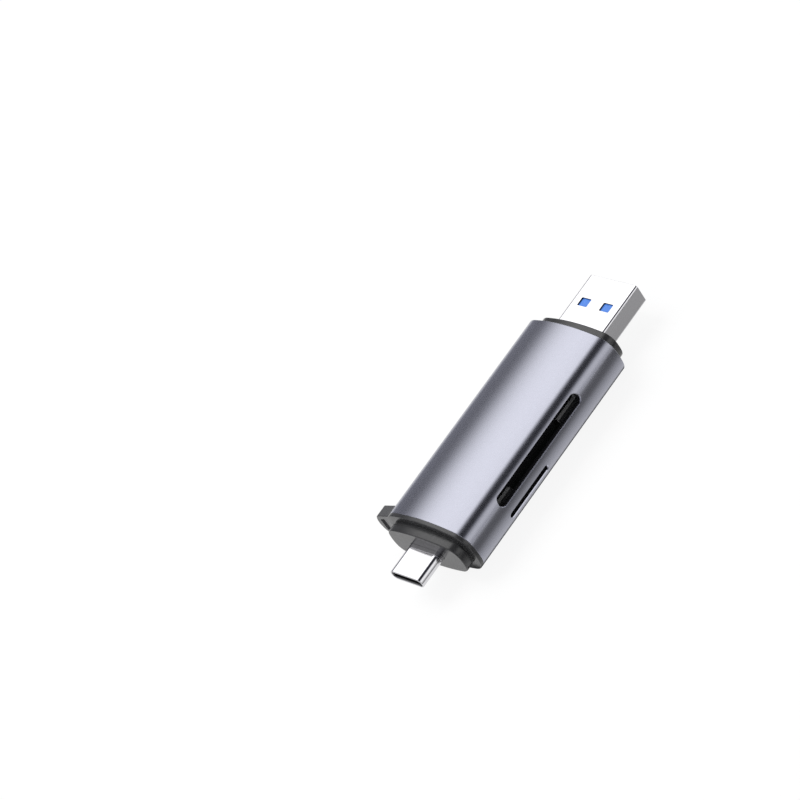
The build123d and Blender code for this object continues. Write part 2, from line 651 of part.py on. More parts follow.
def c_contacts(side):
    z = side * (BOARD_TOP + C_CONTACT_THICKNESS / 2)
    points = [(C_TIP + C_CONTACT_SETBACK, z), (BOARD_END_C + C_TAIL_LENGTH, z)]
    first = -(C_CONTACT_COUNT - 1) / 2 * C_CONTACT_PITCH
    one = strip(points, C_CONTACT_THICKNESS, C_CONTACT_WIDTH)
    return [Location((0, first + n * C_CONTACT_PITCH, 0)) * one for n in range(C_CONTACT_COUNT)]


def make_latch():
    """Fork whose two arms hook into the sides of the mating socket's tongue."""
    half = C_CAVITY_WIDTH / 2 + LATCH_ARM_WIDTH
    base_front = C_TIP + C_INSULATOR_SETBACK + C_CAVITY_DEPTH
    tip = C_TIP + LATCH_SETBACK
    z = (-LATCH_THICKNESS / 2, LATCH_THICKNESS / 2)
    latch = block((base_front, base_front + LATCH_BASE_LENGTH), (-half, half), z)
    for turn in (1, -1):
        latch += block((tip, base_front), (turn * half, turn * (half - LATCH_ARM_WIDTH)), z)
        hook = (turn * half, turn * (half - LATCH_ARM_WIDTH - LATCH_HOOK))
        latch += block((tip, tip + LATCH_HOOK_LENGTH), hook, z)
    return latch


def make_c_insulator():
    section = pill(C_PLUG_WIDTH - 2 * C_INSULATOR_INSET, C_PLUG_HEIGHT - 2 * C_INSULATOR_INSET)
    front = C_TIP + C_INSULATOR_SETBACK
    body = prism(section, front, C_SHELL_REAR - C_INSULATOR_TAIL_GAP)
    half = C_CAVITY_WIDTH / 2
    height = (-C_CAVITY_HALF_HEIGHT, C_CAVITY_HALF_HEIGHT)
    body -= block((front, front + C_CAVITY_DEPTH), (-half, half), height)
    for contact in c_contacts(1) + c_contacts(-1):
        body -= contact
    return body - make_latch()


def contact_stations(socket):
    first = socket.centre - (socket.contact_count - 1) / 2 * socket.contact_pitch
    return [first + n * socket.contact_pitch for n in range(socket.contact_count)]


def make_socket_frame(socket):
    """Side rails and stop wall round the card, standing on the contact base."""
    half = socket.card_width / 2 + CARD_PLAY + SOCKET_RAIL
    height = above_board(socket.side, socket.floor, socket.ceiling)
    frame = block((socket.centre - half, socket.centre + half), (SOCKET_FRONT, socket.back), height)
    card_half = half - SOCKET_RAIL
    card_x = (socket.centre - card_half, socket.centre + card_half)
    return frame - block(card_x, (SOCKET_FRONT, socket.back - SOCKET_RAIL), height)


def make_socket_base(socket):
    """Plate under the card, open at the back in one slot for each contact."""
    half = socket.card_width / 2 + CARD_PLAY + SOCKET_RAIL
    height = above_board(socket.side, 0, socket.floor)
    base = block((socket.centre - half, socket.centre + half), (SOCKET_FRONT, socket.back), height)
    slot_half = SOCKET_CONTACT_WIDTH / 2 + SOCKET_CONTACT_SLOT_GAP
    slot_front = socket.back - SOCKET_RAIL - SOCKET_CONTACT_REACH - SOCKET_CONTACT_TIP
    for station in contact_stations(socket):
        base -= block((station - slot_half, station + slot_half), (slot_front, socket.back), height)
    return base


def make_socket_cover(socket):
    """Folded sheet over the socket, with side flanges and two lanced springs that press on the card."""
    half = socket_half_width(socket)
    y = (SOCKET_FRONT, socket.back)
    height = above_board(socket.side, 0, socket.ceiling + SOCKET_COVER)
    cover = block((socket.centre - half, socket.centre + half), y, height)
    inner = half - SOCKET_COVER
    inner_height = above_board(socket.side, 0, socket.ceiling)
    cover -= block((socket.centre - inner, socket.centre + inner), y, inner_height)
    for turn in (1, -1):
        middle = socket.centre + turn * socket.card_width * COVER_SPRING_SHARE
        spring_half = COVER_SPRING_WIDTH / 2
        lance_half = spring_half + COVER_SPRING_SLIT
        z = above_board(socket.side, socket.ceiling, socket.ceiling + SOCKET_COVER)
        front = socket.back - SOCKET_RAIL - COVER_SPRING_LENGTH - COVER_SPRING_SLIT
        rear = socket.back - SOCKET_RAIL
        lance = block((middle - lance_half, middle + lance_half), (front, rear), z)
        lance -= block((middle - spring_half, middle + spring_half), (front + COVER_SPRING_SLIT, rear), z)
        cover -= lance
    return cover


def make_socket_contacts(socket):
    """Springs that lie on the board behind the socket and rise through its floor to the card."""
    low = SOCKET_CONTACT_THICKNESS / 2
    high = socket.floor + SOCKET_CONTACT_PROUD - SOCKET_CONTACT_THICKNESS / 2
    rear_wall = socket.back - SOCKET_RAIL
    crest = rear_wall - SOCKET_CONTACT_REACH
    points = [
        (socket.back + SOCKET_CONTACT_TAIL, low),
        (rear_wall, low),
        (crest, high),
        (crest - SOCKET_CONTACT_TIP / 2, high - SOCKET_CONTACT_PROUD),
    ]
    placed = [(y, socket.side * (BOARD_TOP + height)) for y, height in points]
    one = Rot(0, 0, 90) * strip(placed, SOCKET_CONTACT_THICKNESS, SOCKET_CONTACT_WIDTH)
    return [Location((station, 0, 0)) * one for station in contact_stations(socket)]


def on_board(side, centre, size, standoff=0.0):
    """Rectangular part standing on one face of the board."""
    x, y = centre
    length, width, thickness = size
    z = above_board(side, standoff, standoff + thickness)
    return block((x - length / 2, x + length / 2), (y - width / 2, y + width / 2), z)


def sloping_lead(body_half, span_half, rise, foot, width):
    """One lead along +X from a body's side down to the board, below a board face at Z = 0."""
    sole = -CHIP_LEAD_THICKNESS / 2
    points = [(body_half, -rise), (span_half - foot, sole), (span_half, sole)]
    return strip(points, CHIP_LEAD_THICKNESS, width)


def make_chip_leads():
    rise = CHIP_STANDOFF + CHIP_THICKNESS / 2
    lead = sloping_lead(CHIP_SIZE / 2, CHIP_LEAD_SPAN / 2, rise, CHIP_LEAD_FOOT, CHIP_LEAD_WIDTH)
    first = -(CHIP_LEADS_PER_SIDE - 1) / 2 * CHIP_LEAD_PITCH
    place = Location((*CHIP_CENTRE, -BOARD_TOP))
    leads = []
    for quarter in range(4):
        for n in range(CHIP_LEADS_PER_SIDE):
            step = Location((0, first + n * CHIP_LEAD_PITCH, 0))
            leads.append(place * Rot(0, 0, 90 * quarter) * step * lead)
    return leads


def make_regulator_leads():
    rise = CHIP_STANDOFF + REGULATOR_THICKNESS / 2
    half_span = REGULATOR_LEAD_SPAN / 2
    foot = (half_span - REGULATOR_LENGTH / 2) / 2
    lead = sloping_lead(REGULATOR_LENGTH / 2, half_span, rise, foot, REGULATOR_LEAD_WIDTH)
    place = Location((*REGULATOR_CENTRE, -BOARD_TOP))
    leads = [place * Location((0, n * REGULATOR_LEAD_PITCH, 0)) * lead for n in (-1, 0, 1)]
    leads += [place * Rot(0, 0, 180) * Location((0, n * REGULATOR_LEAD_PITCH, 0)) * lead for n in (-1, 1)]
    return leads


def make_crystal():
    can = on_board(-1, CRYSTAL_CENTRE, CRYSTAL_SHAPE)
    return fillet(can.edges().filter_by(Axis.Z), CRYSTAL_CORNER)


def make_capacitors():
    first = CHIP_CENTRE[0] - (CAPACITOR_ROW_COUNT - 1) / 2 * CAPACITOR_STEP
    stations = [first + n * CAPACITOR_STEP for n in range(CAPACITOR_ROW_COUNT)]
    rows = [(x, turn * CAPACITOR_ROW_Y) for turn in (1, -1) for x in stations]
    return [on_board(-1, centre, CAPACITOR_SHAPE) for centre in rows]


def make_resistors():
    first = -(RESISTOR_ROW_COUNT - 1) / 2 * RESISTOR_STEP
    rows = [(x, first + n * RESISTOR_STEP) for x in RESISTOR_ROW_X for n in range(RESISTOR_ROW_COUNT)]
    return [on_board(1, centre, RESISTOR_SHAPE) for centre in rows]


def chip_body(centre, size):
    return on_board(-1, centre, size, CHIP_STANDOFF)


PARTS = {
    "sleeve": make_sleeve(),
    "usb_a_end_cap": make_a_cap(),
    "usb_c_end_cap": make_c_cap(),
    "strap_lug": make_lug(),
    "upper_carrier": make_upper_carrier(),
    "lower_carrier": make_lower_carrier(),
    "circuit_board": make_board(),
    "usb_a_shell": make_a_shell(),
    "usb_a_tongue": make_a_tongue(),
    "usb_a_front_contacts": make_a_front_contacts(),
    "usb_a_rear_contacts": make_a_rear_contacts(),
    "usb_a_rear_block": make_a_rear_block(),
    "usb_c_shell": make_c_shell(),
    "usb_c_insulator": make_c_insulator(),
    "usb_c_upper_contacts": c_contacts(1),
    "usb_c_lower_contacts": c_contacts(-1),
    "usb_c_latch_fork": make_latch(),
    "large_card_socket_body": make_socket_frame(LARGE_SOCKET),
    "large_card_socket_base": make_socket_base(LARGE_SOCKET),
    "large_card_socket_cover": make_socket_cover(LARGE_SOCKET),
    "large_card_contacts": make_socket_contacts(LARGE_SOCKET),
    "small_card_socket_body": make_socket_frame(SMALL_SOCKET),
    "small_card_socket_base": make_socket_base(SMALL_SOCKET),
    "small_card_socket_cover": make_socket_cover(SMALL_SOCKET),
    "small_card_contacts": make_socket_contacts(SMALL_SOCKET),
    "controller_chip": chip_body(CHIP_CENTRE, CHIP_SHAPE),
    "controller_leads": make_chip_leads(),
    "voltage_regulator": chip_body(REGULATOR_CENTRE, REGULATOR_SHAPE),
    "regulator_leads": make_regulator_leads(),
    "crystal": make_crystal(),
    "capacitors": make_capacitors(),
    "resistors": make_resistors(),
}

for node, shape in PARTS.items():
    if isinstance(shape, list):
        shape = Compound(children=shape)
    export_step(shape, f"parts/{node}.step")
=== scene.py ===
"""Looks of a two-ended memory card reader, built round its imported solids."""

import json
import math

import bmesh
import bpy
from mathutils import Matrix, Vector


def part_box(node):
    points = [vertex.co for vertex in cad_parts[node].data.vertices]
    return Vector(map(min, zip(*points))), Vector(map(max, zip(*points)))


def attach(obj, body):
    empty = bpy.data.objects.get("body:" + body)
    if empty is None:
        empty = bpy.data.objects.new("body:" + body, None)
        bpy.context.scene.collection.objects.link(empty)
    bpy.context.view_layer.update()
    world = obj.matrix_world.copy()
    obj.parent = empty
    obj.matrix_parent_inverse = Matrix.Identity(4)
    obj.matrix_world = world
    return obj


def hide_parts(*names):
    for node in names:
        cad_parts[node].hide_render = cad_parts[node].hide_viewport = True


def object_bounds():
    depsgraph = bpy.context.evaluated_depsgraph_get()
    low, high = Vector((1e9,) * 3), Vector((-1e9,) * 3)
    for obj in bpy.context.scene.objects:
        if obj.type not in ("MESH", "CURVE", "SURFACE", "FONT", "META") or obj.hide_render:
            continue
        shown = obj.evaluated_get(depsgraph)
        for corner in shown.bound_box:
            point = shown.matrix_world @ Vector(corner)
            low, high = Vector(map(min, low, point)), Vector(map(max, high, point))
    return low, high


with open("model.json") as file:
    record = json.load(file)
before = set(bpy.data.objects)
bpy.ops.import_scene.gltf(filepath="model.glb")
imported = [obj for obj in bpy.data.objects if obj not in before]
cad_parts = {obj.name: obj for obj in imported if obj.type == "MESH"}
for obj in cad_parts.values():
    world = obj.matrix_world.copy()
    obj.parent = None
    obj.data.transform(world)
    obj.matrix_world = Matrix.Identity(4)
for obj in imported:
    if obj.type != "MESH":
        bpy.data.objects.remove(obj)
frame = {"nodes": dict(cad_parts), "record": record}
CAD_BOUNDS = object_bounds()
ROOT = "root"
MM = 0.001
CLOSE = 0.01 * MM  # two places nearer than this are the same
OVERCUT = 1.0 * MM  # how far a cutter stands out of what it cuts
PLUG_REACH = 9.0 * MM  # half side of a cutter that takes in either plug
CREASE = 30.0  # angle in degrees from which an edge shows as a crease
FLAT_WEIGHT = 80  # how much large faces keep the shading flat, in percent

bl_info = {
    "name": "Card Reader Looks",
    "version": (1, 0, 0),
    "blender": (4, 5, 0),
    "location": "View3D > Sidebar > Card Reader",
    "description": "Builds the finished surfaces, materials and studio of a two-ended memory card reader",
    "category": "Object",
}


def length(name, text, value):
    """Property for a length, its default given in millimetres."""
    return bpy.props.FloatProperty(
        name=name, description=text, default=value * MM, unit="LENGTH", subtype="DISTANCE"
    )


def color(name, text, value):
    return bpy.props.FloatVectorProperty(
        name=name, description=text, default=value, size=3, min=0.0, max=1.0, subtype="COLOR"
    )


def factor(name, text, value):
    return bpy.props.FloatProperty(
        name=name, description=text, default=value, min=0.0, max=1.0, subtype="FACTOR"
    )


def number(name, text, value):
    return bpy.props.FloatProperty(name=name, description=text, default=value)


class ReaderSizes(bpy.types.PropertyGroup):
    """Radii, walls and edge breaks that the frame's boxes don't tell."""

    sleeve_top: length("Sleeve top radius", "Radius of the sleeve's broad arched faces", 32.3)
    sleeve_side: length("Sleeve side radius", "Radius of the sleeve's narrow round sides", 11.05)
    sleeve_corner: length("Sleeve corner radius", "Radius between broad face and side", 3.85)
    sleeve_wall: length("Sleeve wall", "Thickness of the extruded wall", 1.0)
    end_break: length("End break", "Chamfer at the sleeve's ends", 0.12)
    mouth_break: length("Mouth break", "Chamfer round each card mouth", 0.16)
    large_mouth_inset: length("Large mouth inset", "From the sleeve's narrow end to the large mouth", 9.27)
    large_mouth_length: length("Large mouth length", "Length of the large card mouth", 26.1)
    large_mouth_height: length("Large mouth height", "Height of the large card mouth", 2.3)
    large_mouth_rise: length("Large mouth rise", "Height of the large mouth above the middle", 2.42)
    small_mouth_inset: length("Small mouth inset", "From the sleeve's narrow end to the small mouth", 9.67)
    small_mouth_length: length("Small mouth length", "Length of the small card mouth", 12.0)
    small_mouth_height: length("Small mouth height", "Height of the small card mouth", 1.09)
    small_mouth_rise: length("Small mouth rise", "Height of the small mouth above the middle", -1.525)
    nose_half_width: length("Nose half width", "Half width of a nose", 9.3)
    nose_half_height: length("Nose half height", "Half height of a nose", 4.27)
    nose_top: length("Nose top radius", "Radius of a nose's broad faces", 32.7)
    nose_side: length("Nose side radius", "Radius of a nose's narrow sides", 8.0)
    nose_corner: length("Nose corner radius", "Radius between the nose's faces", 2.7)
    nose_edge: length("Nose edge radius", "Rounding of a nose's outer edge", 0.22)
    cap_wall: length("Cap wall", "Wall of the hollow end caps", 1.0)
    spigot_wall: length("Spigot wall", "Wall of the spigots inside the sleeve", 0.8)
    spigot_fit: length("Spigot fit", "Gap between a cap's spigot and the sleeve", 0.05)
    a_nose: length("Wide nose length", "How far the wide plug's nose stands out of its ring", 2.35)
    c_flange: length("Flange thickness", "Flange between sleeve and narrow nose", 0.75)
    c_nose: length("Narrow nose length", "How far the narrow plug's nose stands out of the flange", 2.05)
    c_groove_width: length("Nose groove width", "Groove between flange and narrow nose, along", 0.35)
    c_groove_depth: length("Nose groove depth", "Groove between flange and narrow nose, into the nose", 0.14)
    plug_fit: length("Plug fit", "Gap round a plug in its cap", 0.05)
    lug_root_depth: length("Lug root depth", "How far the lug's root lies inside the sleeve's side", 1.9)
    lug_root: length("Lug root", "Half height of the lug's root", 4.06)
    lug_shoulder: length("Lug shoulder", "Half height of the lug's outer edge", 2.31)
    lug_crown: length("Lug crown", "Rise of the lug's outer edge", 0.74)
    lug_corner: length("Lug corner", "Rounding of the lug's shoulders", 0.3)
    lug_edge: length("Lug edge", "Rounding along the lug's outline", 0.14)
    lug_hole: length("Strap hole width", "Width of the strap hole across the lug", 1.4)
    lug_hole_outer: length("Strap hole outer half", "Half height of the strap hole's outer side", 1.6)
    lug_hole_inner: length("Strap hole inner half", "Half height of the strap hole's inner side", 2.15)
    lug_rim: length("Strap hole rim", "Wall between the strap hole and the lug's outer edge", 1.3)
    a_shell_wall: length("Wide shell wall", "Sheet thickness of the wide plug", 0.3)
    a_shell_corner: length("Wide shell corner", "Corner radius of the wide plug", 0.6)
    a_shell_edge: length("Wide shell edge", "Rounding of the wide plug's mouth", 0.09)
    a_seam: length("Wide shell seam", "Width and depth of the fold's seam underneath", 0.08)
    a_tab_length: length("Wide tab length", "Length of the wide shell's side tabs", 2.8)
    a_tab_half: length("Wide tab half height", "Half height of the wide shell's side tabs", 1.0)
    window_width: length("Window width", "Window of the wide plug, across", 2.4)
    window_length: length("Window length", "Window of the wide plug, along", 1.95)
    window_corner: length("Window corner", "Corner radius of the windows", 0.2)
    window_offset: length("Window offset", "From the middle to a window's centre", 2.77)
    window_setback: length("Window setback", "From the wide plug's tip to a window", 5.3)
    tongue_nose: length("Tongue nose", "Chamfer under the tongue's tip", 0.4)
    tongue_side: length("Tongue side", "Rounding along the tongue's upper edges", 0.15)
    tongue_edge: length("Tongue edge", "Rounding of the tongue's other edges", 0.05)
    c_shell_wall: length("Narrow shell wall", "Sheet thickness of the narrow plug", 0.28)
    c_shell_edge: length("Narrow shell edge", "Rounding of the narrow plug's mouth", 0.12)
    c_seam_setback: length("Narrow seam setback", "From the nose face to the fine seam round the plug", 0.86)
    c_seam: length("Narrow seam", "Width and depth of the fine seam round the plug", 0.1)
    c_tab_length: length("Narrow tab length", "Length of the narrow shell's side tabs", 2.1)
    c_tab_half: length("Narrow tab half height", "Half height of the narrow shell's side tabs", 0.25)


class ReaderFinish(bpy.types.PropertyGroup):
    """Colours and roughness of the finishes."""

    aluminium: color("Aluminium", "Anodised sleeve", (0.36, 0.365, 0.42))
    aluminium_roughness: factor("Aluminium roughness", "Satin of the blasted and anodised sleeve", 0.27)
    cap: color("Cap plastic", "Dark grey end caps", (0.035, 0.035, 0.036))
    cap_roughness: factor("Cap roughness", "Gloss of the moulded caps", 0.22)
    steel: color("Plug steel", "Plated plug shells", (0.7, 0.693, 0.715))
    steel_roughness: factor("Plug roughness", "Polish of the plug shells", 0.14)
    blue: color("Tongue blue", "Blue plastic in the wide plug", (0.075, 0.25, 0.8))


class ReaderStudio(bpy.types.PropertyGroup):
    """Camera and light of the studio."""

    lens: number("Focal length", "Camera focal length in millimetres on a 36 mm sensor", 153.52)
    shift_x: number("Shift X", "Camera shift that centres the photograph's frame", 0.0177)
    shift_y: number("Shift Y", "Camera shift that centres the photograph's frame", 0.0183)
    floor: color("Floor", "Plain pale floor", (0.9, 0.9, 0.9))


class Graph:
    """Short calls for a tree of nodes."""

    def __init__(self, tree):
        self.tree = tree

    def node(self, kind, values=(), **options):
        made = self.tree.nodes.new(kind)
        for key, value in options.items():
            setattr(made, key, value)
        for socket, value in dict(values).items():
            made.inputs[socket].default_value = value
        return made

    def link(self, source, target):
        self.tree.links.new(source, target)

    def spread(self, source, low, high, from_low=0.3, from_high=0.7):
        """A value moved to a new range, from the one that noise mostly fills unless another is given."""
        made = self.node("ShaderNodeMapRange", {1: from_low, 2: from_high, 3: low, 4: high})
        self.link(source, made.inputs[0])
        return made.outputs[0]

    def calculate(self, operation, first, second):
        """Result of an operation on two values, each a number or a socket."""
        made = self.node("ShaderNodeMath", operation=operation)
        for socket, value in zip(made.inputs, (first, second)):
            if isinstance(value, bpy.types.NodeSocket):
                self.link(value, socket)
            else:
                socket.default_value = value
        return made.outputs[0]

    def mix(self, share, first, second):
        """Colour between two colours, each a tuple or a socket."""
        made = self.node("ShaderNodeMix", data_type="RGBA")
        self.link(share, made.inputs[0])
        for socket, value in ((made.inputs[6], first), (made.inputs[7], second)):
            if isinstance(value, bpy.types.NodeSocket):
                self.link(value, socket)
            else:
                socket.default_value = (*value, 1.0)
        return made.outputs[2]


class Finish(Graph):
    """Short calls for the nodes of one material."""

    def __init__(self, name):
        self.material = bpy.data.materials.new(name)
        self.material.use_nodes = True
        super().__init__(self.material.node_tree)
        self.shader = self.tree.nodes["Principled BSDF"]
        self.coordinates = None

    def place(self, stretch=(1.0, 1.0, 1.0)):
        """Object coordinates in millimetres, stretched along each axis."""
        if self.coordinates is None:
            self.coordinates = self.node("ShaderNodeTexCoord")
        mapping = self.node("ShaderNodeMapping", {"Scale": [value / MM for value in stretch]})
        self.link(self.coordinates.outputs["Object"], mapping.inputs["Vector"])
        return mapping.outputs["Vector"]

    def noise(self, scale, detail=3.0, stretch=(1.0, 1.0, 1.0)):
        """Noise with the given number of cells to a millimetre."""
        made = self.node("ShaderNodeTexNoise", {"Scale": scale, "Detail": detail})
        self.link(self.place(stretch), made.inputs["Vector"])
        return made.outputs["Fac"]

    def edges(self, radius=0.12):
        """One on edges, zero on faces, where the edge is as wide as the radius in millimetres."""
        geometry = self.node("ShaderNodeNewGeometry")
        rounded = self.node("ShaderNodeBevel", {"Radius": radius * MM}, samples=6)
        agreement = self.node("ShaderNodeVectorMath", operation="DOT_PRODUCT")
        self.link(rounded.outputs["Normal"], agreement.inputs[0])
        self.link(geometry.outputs["Normal"], agreement.inputs[1])
        return self.spread(agreement.outputs["Value"], 1.0, 0.0, 0.9, 0.995)

    def along(self, axis):
        """Object coordinate along an axis, in millimetres."""
        split = self.node("ShaderNodeSeparateXYZ")
        self.link(self.place(), split.inputs[0])
        return split.outputs[axis]

    def attribute(self, name):
        return self.node("ShaderNodeAttribute", attribute_name=name).outputs["Fac"]

    def bump(self, source, height, strength=1.0):
        """Relief of the given height in millimetres."""
        made = self.node("ShaderNodeBump", {"Strength": strength, "Distance": height * MM})
        self.link(source, made.inputs["Height"])
        self.link(made.outputs["Normal"], self.shader.inputs["Normal"])

    def set(self, socket, value):
        self.shader.inputs[socket].default_value = value

    def color_from(self, source):
        self.link(source, self.shader.inputs["Base Color"])

    def mottle(self, scale, first, second):
        """Colour that drifts between two others."""
        return self.mix(self.spread(self.noise(scale), 0.0, 1.0), first, second)

    def gloss(self, source, low, high):
        """Roughness that follows a value between two bounds."""
        self.link(self.spread(source, low, high), self.shader.inputs["Roughness"])

    def blend(self, share, first, second):
        """Makes the surface a blend of two shaders, the share being the second's."""
        made = self.node("ShaderNodeMixShader")
        self.link(share, made.inputs[0])
        self.link(first.outputs[0], made.inputs[1])
        self.link(second.outputs[0], made.inputs[2])
        self.link(made.outputs[0], self.tree.nodes["Material Output"].inputs["Surface"])


def scaled(rgb, share):
    """A colour made lighter or darker."""
    return tuple(min(1.0, value * share) for value in rgb)


def satin_aluminium():
    """Blasted and anodised aluminium with a fine grain, bare bright edges, and painted shade on the mouth
    walls and inside the bore.
    """
    finish = bpy.context.scene.reader_finish
    graph = Finish("satin_aluminium")
    base = tuple(finish.aluminium)
    grain = graph.noise(9.0, 2.0)
    cloud = graph.noise(0.12, 3.0)
    tone = graph.mix(graph.spread(grain, 0.0, 1.0), scaled(base, 0.95), scaled(base, 1.05))
    tone = graph.mix(graph.spread(cloud, 0.0, 0.3), tone, scaled(base, 0.97))
    tone = graph.mix(graph.attribute("broken_edge"), tone, scaled(base, 1.9))
    # Painted shade: the mouth walls and the inside of the bore turn near black and lose their metal
    painted_shade_wall = graph.attribute("painted_shade_wall")
    graph.color_from(graph.mix(painted_shade_wall, tone, (0.018, 0.018, 0.02)))
    graph.link(graph.spread(painted_shade_wall, 1.0, 0.0, 0.0, 1.0), graph.shader.inputs["Metallic"])
    rough = finish.aluminium_roughness
    graph.gloss(graph.noise(1.3), rough - 0.008, rough + 0.008)
    graph.bump(grain, 0.001, 0.25)
    return graph.material


def cap_plastic():
    """Semi-gloss moulded plastic, faintly mottled, rubbed lighter on edges, with painted light on the strap
    hole's walls.
    """
    finish = bpy.context.scene.reader_finish
    graph = Finish("cap_plastic")
    base = tuple(finish.cap)
    tone = graph.mottle(0.6, scaled(base, 0.9), scaled(base, 1.1))
    tone = graph.mix(graph.edges(), tone, scaled(base, 2.2))
    # Painted light: the strap hole's walls turn a pale grey
    painted_light = graph.spread(graph.noise(1.5), 0.12, 0.2)
    graph.color_from(graph.mix(graph.attribute("painted_light_hole"), tone, painted_light))
    rough = finish.cap_roughness
    graph.gloss(graph.noise(1.1), rough - 0.03, rough + 0.05)
    graph.set("IOR", 1.5)
    graph.bump(graph.noise(9.0, 2.0), 0.003, 0.4)
    return graph.material


# Where the strip of painted light on the carriers begins and ends: Y in millimetres, from and to each
PAINTED_LIGHT_STRIP = ((-8.95, -8.85), (-7.6, -7.5))


def carrier_plastic():
    """Matt black moulding with a spark-eroded texture, and a strip of painted light where the cards slide in.
    """
    graph = Finish("carrier_plastic")
    tone = graph.mottle(1.5, (0.035, 0.035, 0.036), (0.05, 0.05, 0.051))
    tone = graph.mix(graph.edges(), tone, (0.1, 0.1, 0.1))
    # Painted light: a pale strip on the carriers where the cards slide in
    along = graph.along("Y")
    (rise_start, rise_end), (fall_start, fall_end) = PAINTED_LIGHT_STRIP
    rise = graph.spread(along, 0.0, 0.9, rise_start, rise_end)
    painted_light = graph.calculate("MULTIPLY", rise, graph.spread(along, 1.0, 0.0, fall_start, fall_end))
    graph.color_from(graph.mix(painted_light, tone, (0.5, 0.5, 0.49)))
    graph.gloss(graph.noise(2.0), 0.45, 0.6)
    graph.bump(graph.noise(10.0, 2.0), 0.002, 0.5)
    return graph.material


def plug_steel():
    """Bright plated sheet with faint rolling lines, and painted shade on the windows' cut edges."""
    finish = bpy.context.scene.reader_finish
    graph = Finish("plug_steel")
    base = tuple(finish.steel)
    lines = graph.noise(1.0, 4.0, (0.15, 6.0, 6.0))
    tone = graph.mix(graph.spread(lines, 0.0, 1.0), scaled(base, 0.98), scaled(base, 1.02))
    tone = graph.mix(graph.spread(graph.noise(9.0, 2.0), 0.0, 0.5), tone, scaled(base, 0.88))
    # Painted shade: the windows' cut edges turn near black
    graph.color_from(graph.mix(graph.attribute("painted_shade_edge"), tone, (0.02, 0.022, 0.025)))
    rough = finish.steel_roughness
    graph.gloss(lines, rough - 0.02, rough + 0.04)
    graph.set("Metallic", 1.0)
    graph.bump(lines, 0.001, 0.3)
    return graph.material


def blue_plastic():
    """Blue moulded plastic with a slightly uneven gloss."""
    finish = bpy.context.scene.reader_finish
    graph = Finish("blue_plastic")
    base = tuple(finish.blue)
    tone = graph.mottle(0.8, scaled(base, 0.94), scaled(base, 1.06))
    graph.color_from(graph.mix(graph.edges(), tone, scaled(base, 1.3)))
    graph.gloss(graph.noise(2.0), 0.3, 0.42)
    graph.bump(graph.noise(8.0, 2.0), 0.003, 0.4)
    return graph.material


def black_plastic():
    """Plain black moulded insulator."""
    graph = Finish("black_plastic")
    tone = graph.mottle(1.0, (0.008, 0.008, 0.009), (0.014, 0.014, 0.015))
    graph.color_from(graph.mix(graph.edges(), tone, (0.04, 0.04, 0.04)))
    graph.gloss(graph.noise(2.0), 0.35, 0.5)
    graph.bump(graph.noise(9.0, 2.0), 0.004, 0.5)
    return graph.material


def contact_metal():
    """Gold-plated spring metal, a little duller where it has rubbed."""
    graph = Finish("contact_metal")
    graph.color_from(graph.mottle(1.2, (0.83, 0.6, 0.24), (0.9, 0.7, 0.34)))
    graph.gloss(graph.noise(3.0), 0.18, 0.3)
    graph.set("Metallic", 1.0)
    graph.bump(graph.noise(6.0), 0.002, 0.3)
    return graph.material


def cover_steel():
    """Plain rolled stainless sheet with a directional grain."""
    graph = Finish("cover_steel")
    grain = graph.noise(1.0, 4.0, (8.0, 0.4, 8.0))
    graph.color_from(graph.mix(graph.spread(grain, 0.0, 1.0), (0.5, 0.5, 0.51), (0.62, 0.62, 0.63)))
    graph.gloss(grain, 0.28, 0.4)
    graph.set("Metallic", 1.0)
    graph.bump(grain, 0.002, 0.4)
    return graph.material


def board_laminate():
    """Black solder resist over a faint weave."""
    graph = Finish("board_laminate")
    graph.color_from(graph.mottle(0.7, (0.008, 0.011, 0.01), (0.014, 0.018, 0.016)))
    graph.gloss(graph.noise(3.0), 0.25, 0.4)
    weave = graph.node("ShaderNodeTexWave", {"Scale": 1.2, "Distortion": 0.4})
    graph.link(graph.place(), weave.inputs["Vector"])
    graph.bump(weave.outputs["Fac"], 0.004, 0.3)
    return graph.material


def ceramic():
    """Fired brown ceramic with pale speckles."""
    graph = Finish("ceramic")
    speckle = graph.spread(graph.noise(5.0), 0.0, 1.0, 0.45, 0.7)
    graph.color_from(graph.mix(speckle, (0.24, 0.17, 0.11), (0.4, 0.31, 0.22)))
    graph.gloss(graph.noise(3.0), 0.4, 0.6)
    graph.bump(graph.noise(7.0), 0.004, 0.5)
    return graph.material


MATERIAL_MAKERS = {
    "satin_aluminium": satin_aluminium,
    "dark_plastic": cap_plastic,
    "carrier_plastic": carrier_plastic,
    "plug_steel": plug_steel,
    "blue_plastic": blue_plastic,
    "black_plastic": black_plastic,
    "contact_metal": contact_metal,
    "cover_steel": cover_steel,
    "board_laminate": board_laminate,
    "ceramic": ceramic,
}
made_materials = {}


def material_of(slot):
    """The finish of a material slot, made once."""
    if slot not in made_materials:
        made_materials[slot] = MATERIAL_MAKERS[slot]()
    return made_materials[slot]


def slot_of(node):
    """Material slot that the frame gives a CAD node."""
    for row in frame["record"]["subparts"]:
        if row["node"] == node:
            return row["material_slot"]
    raise RuntimeError(f"the frame has no material slot for {node}")


def dress(obj, slot):
    """Gives an object the one finish of its slot."""
    obj.data.materials.clear()
    obj.data.materials.append(material_of(slot))


def ray(turn):
    """Unit vector in a section's plane."""
    return Vector((math.cos(turn), math.sin(turn)))


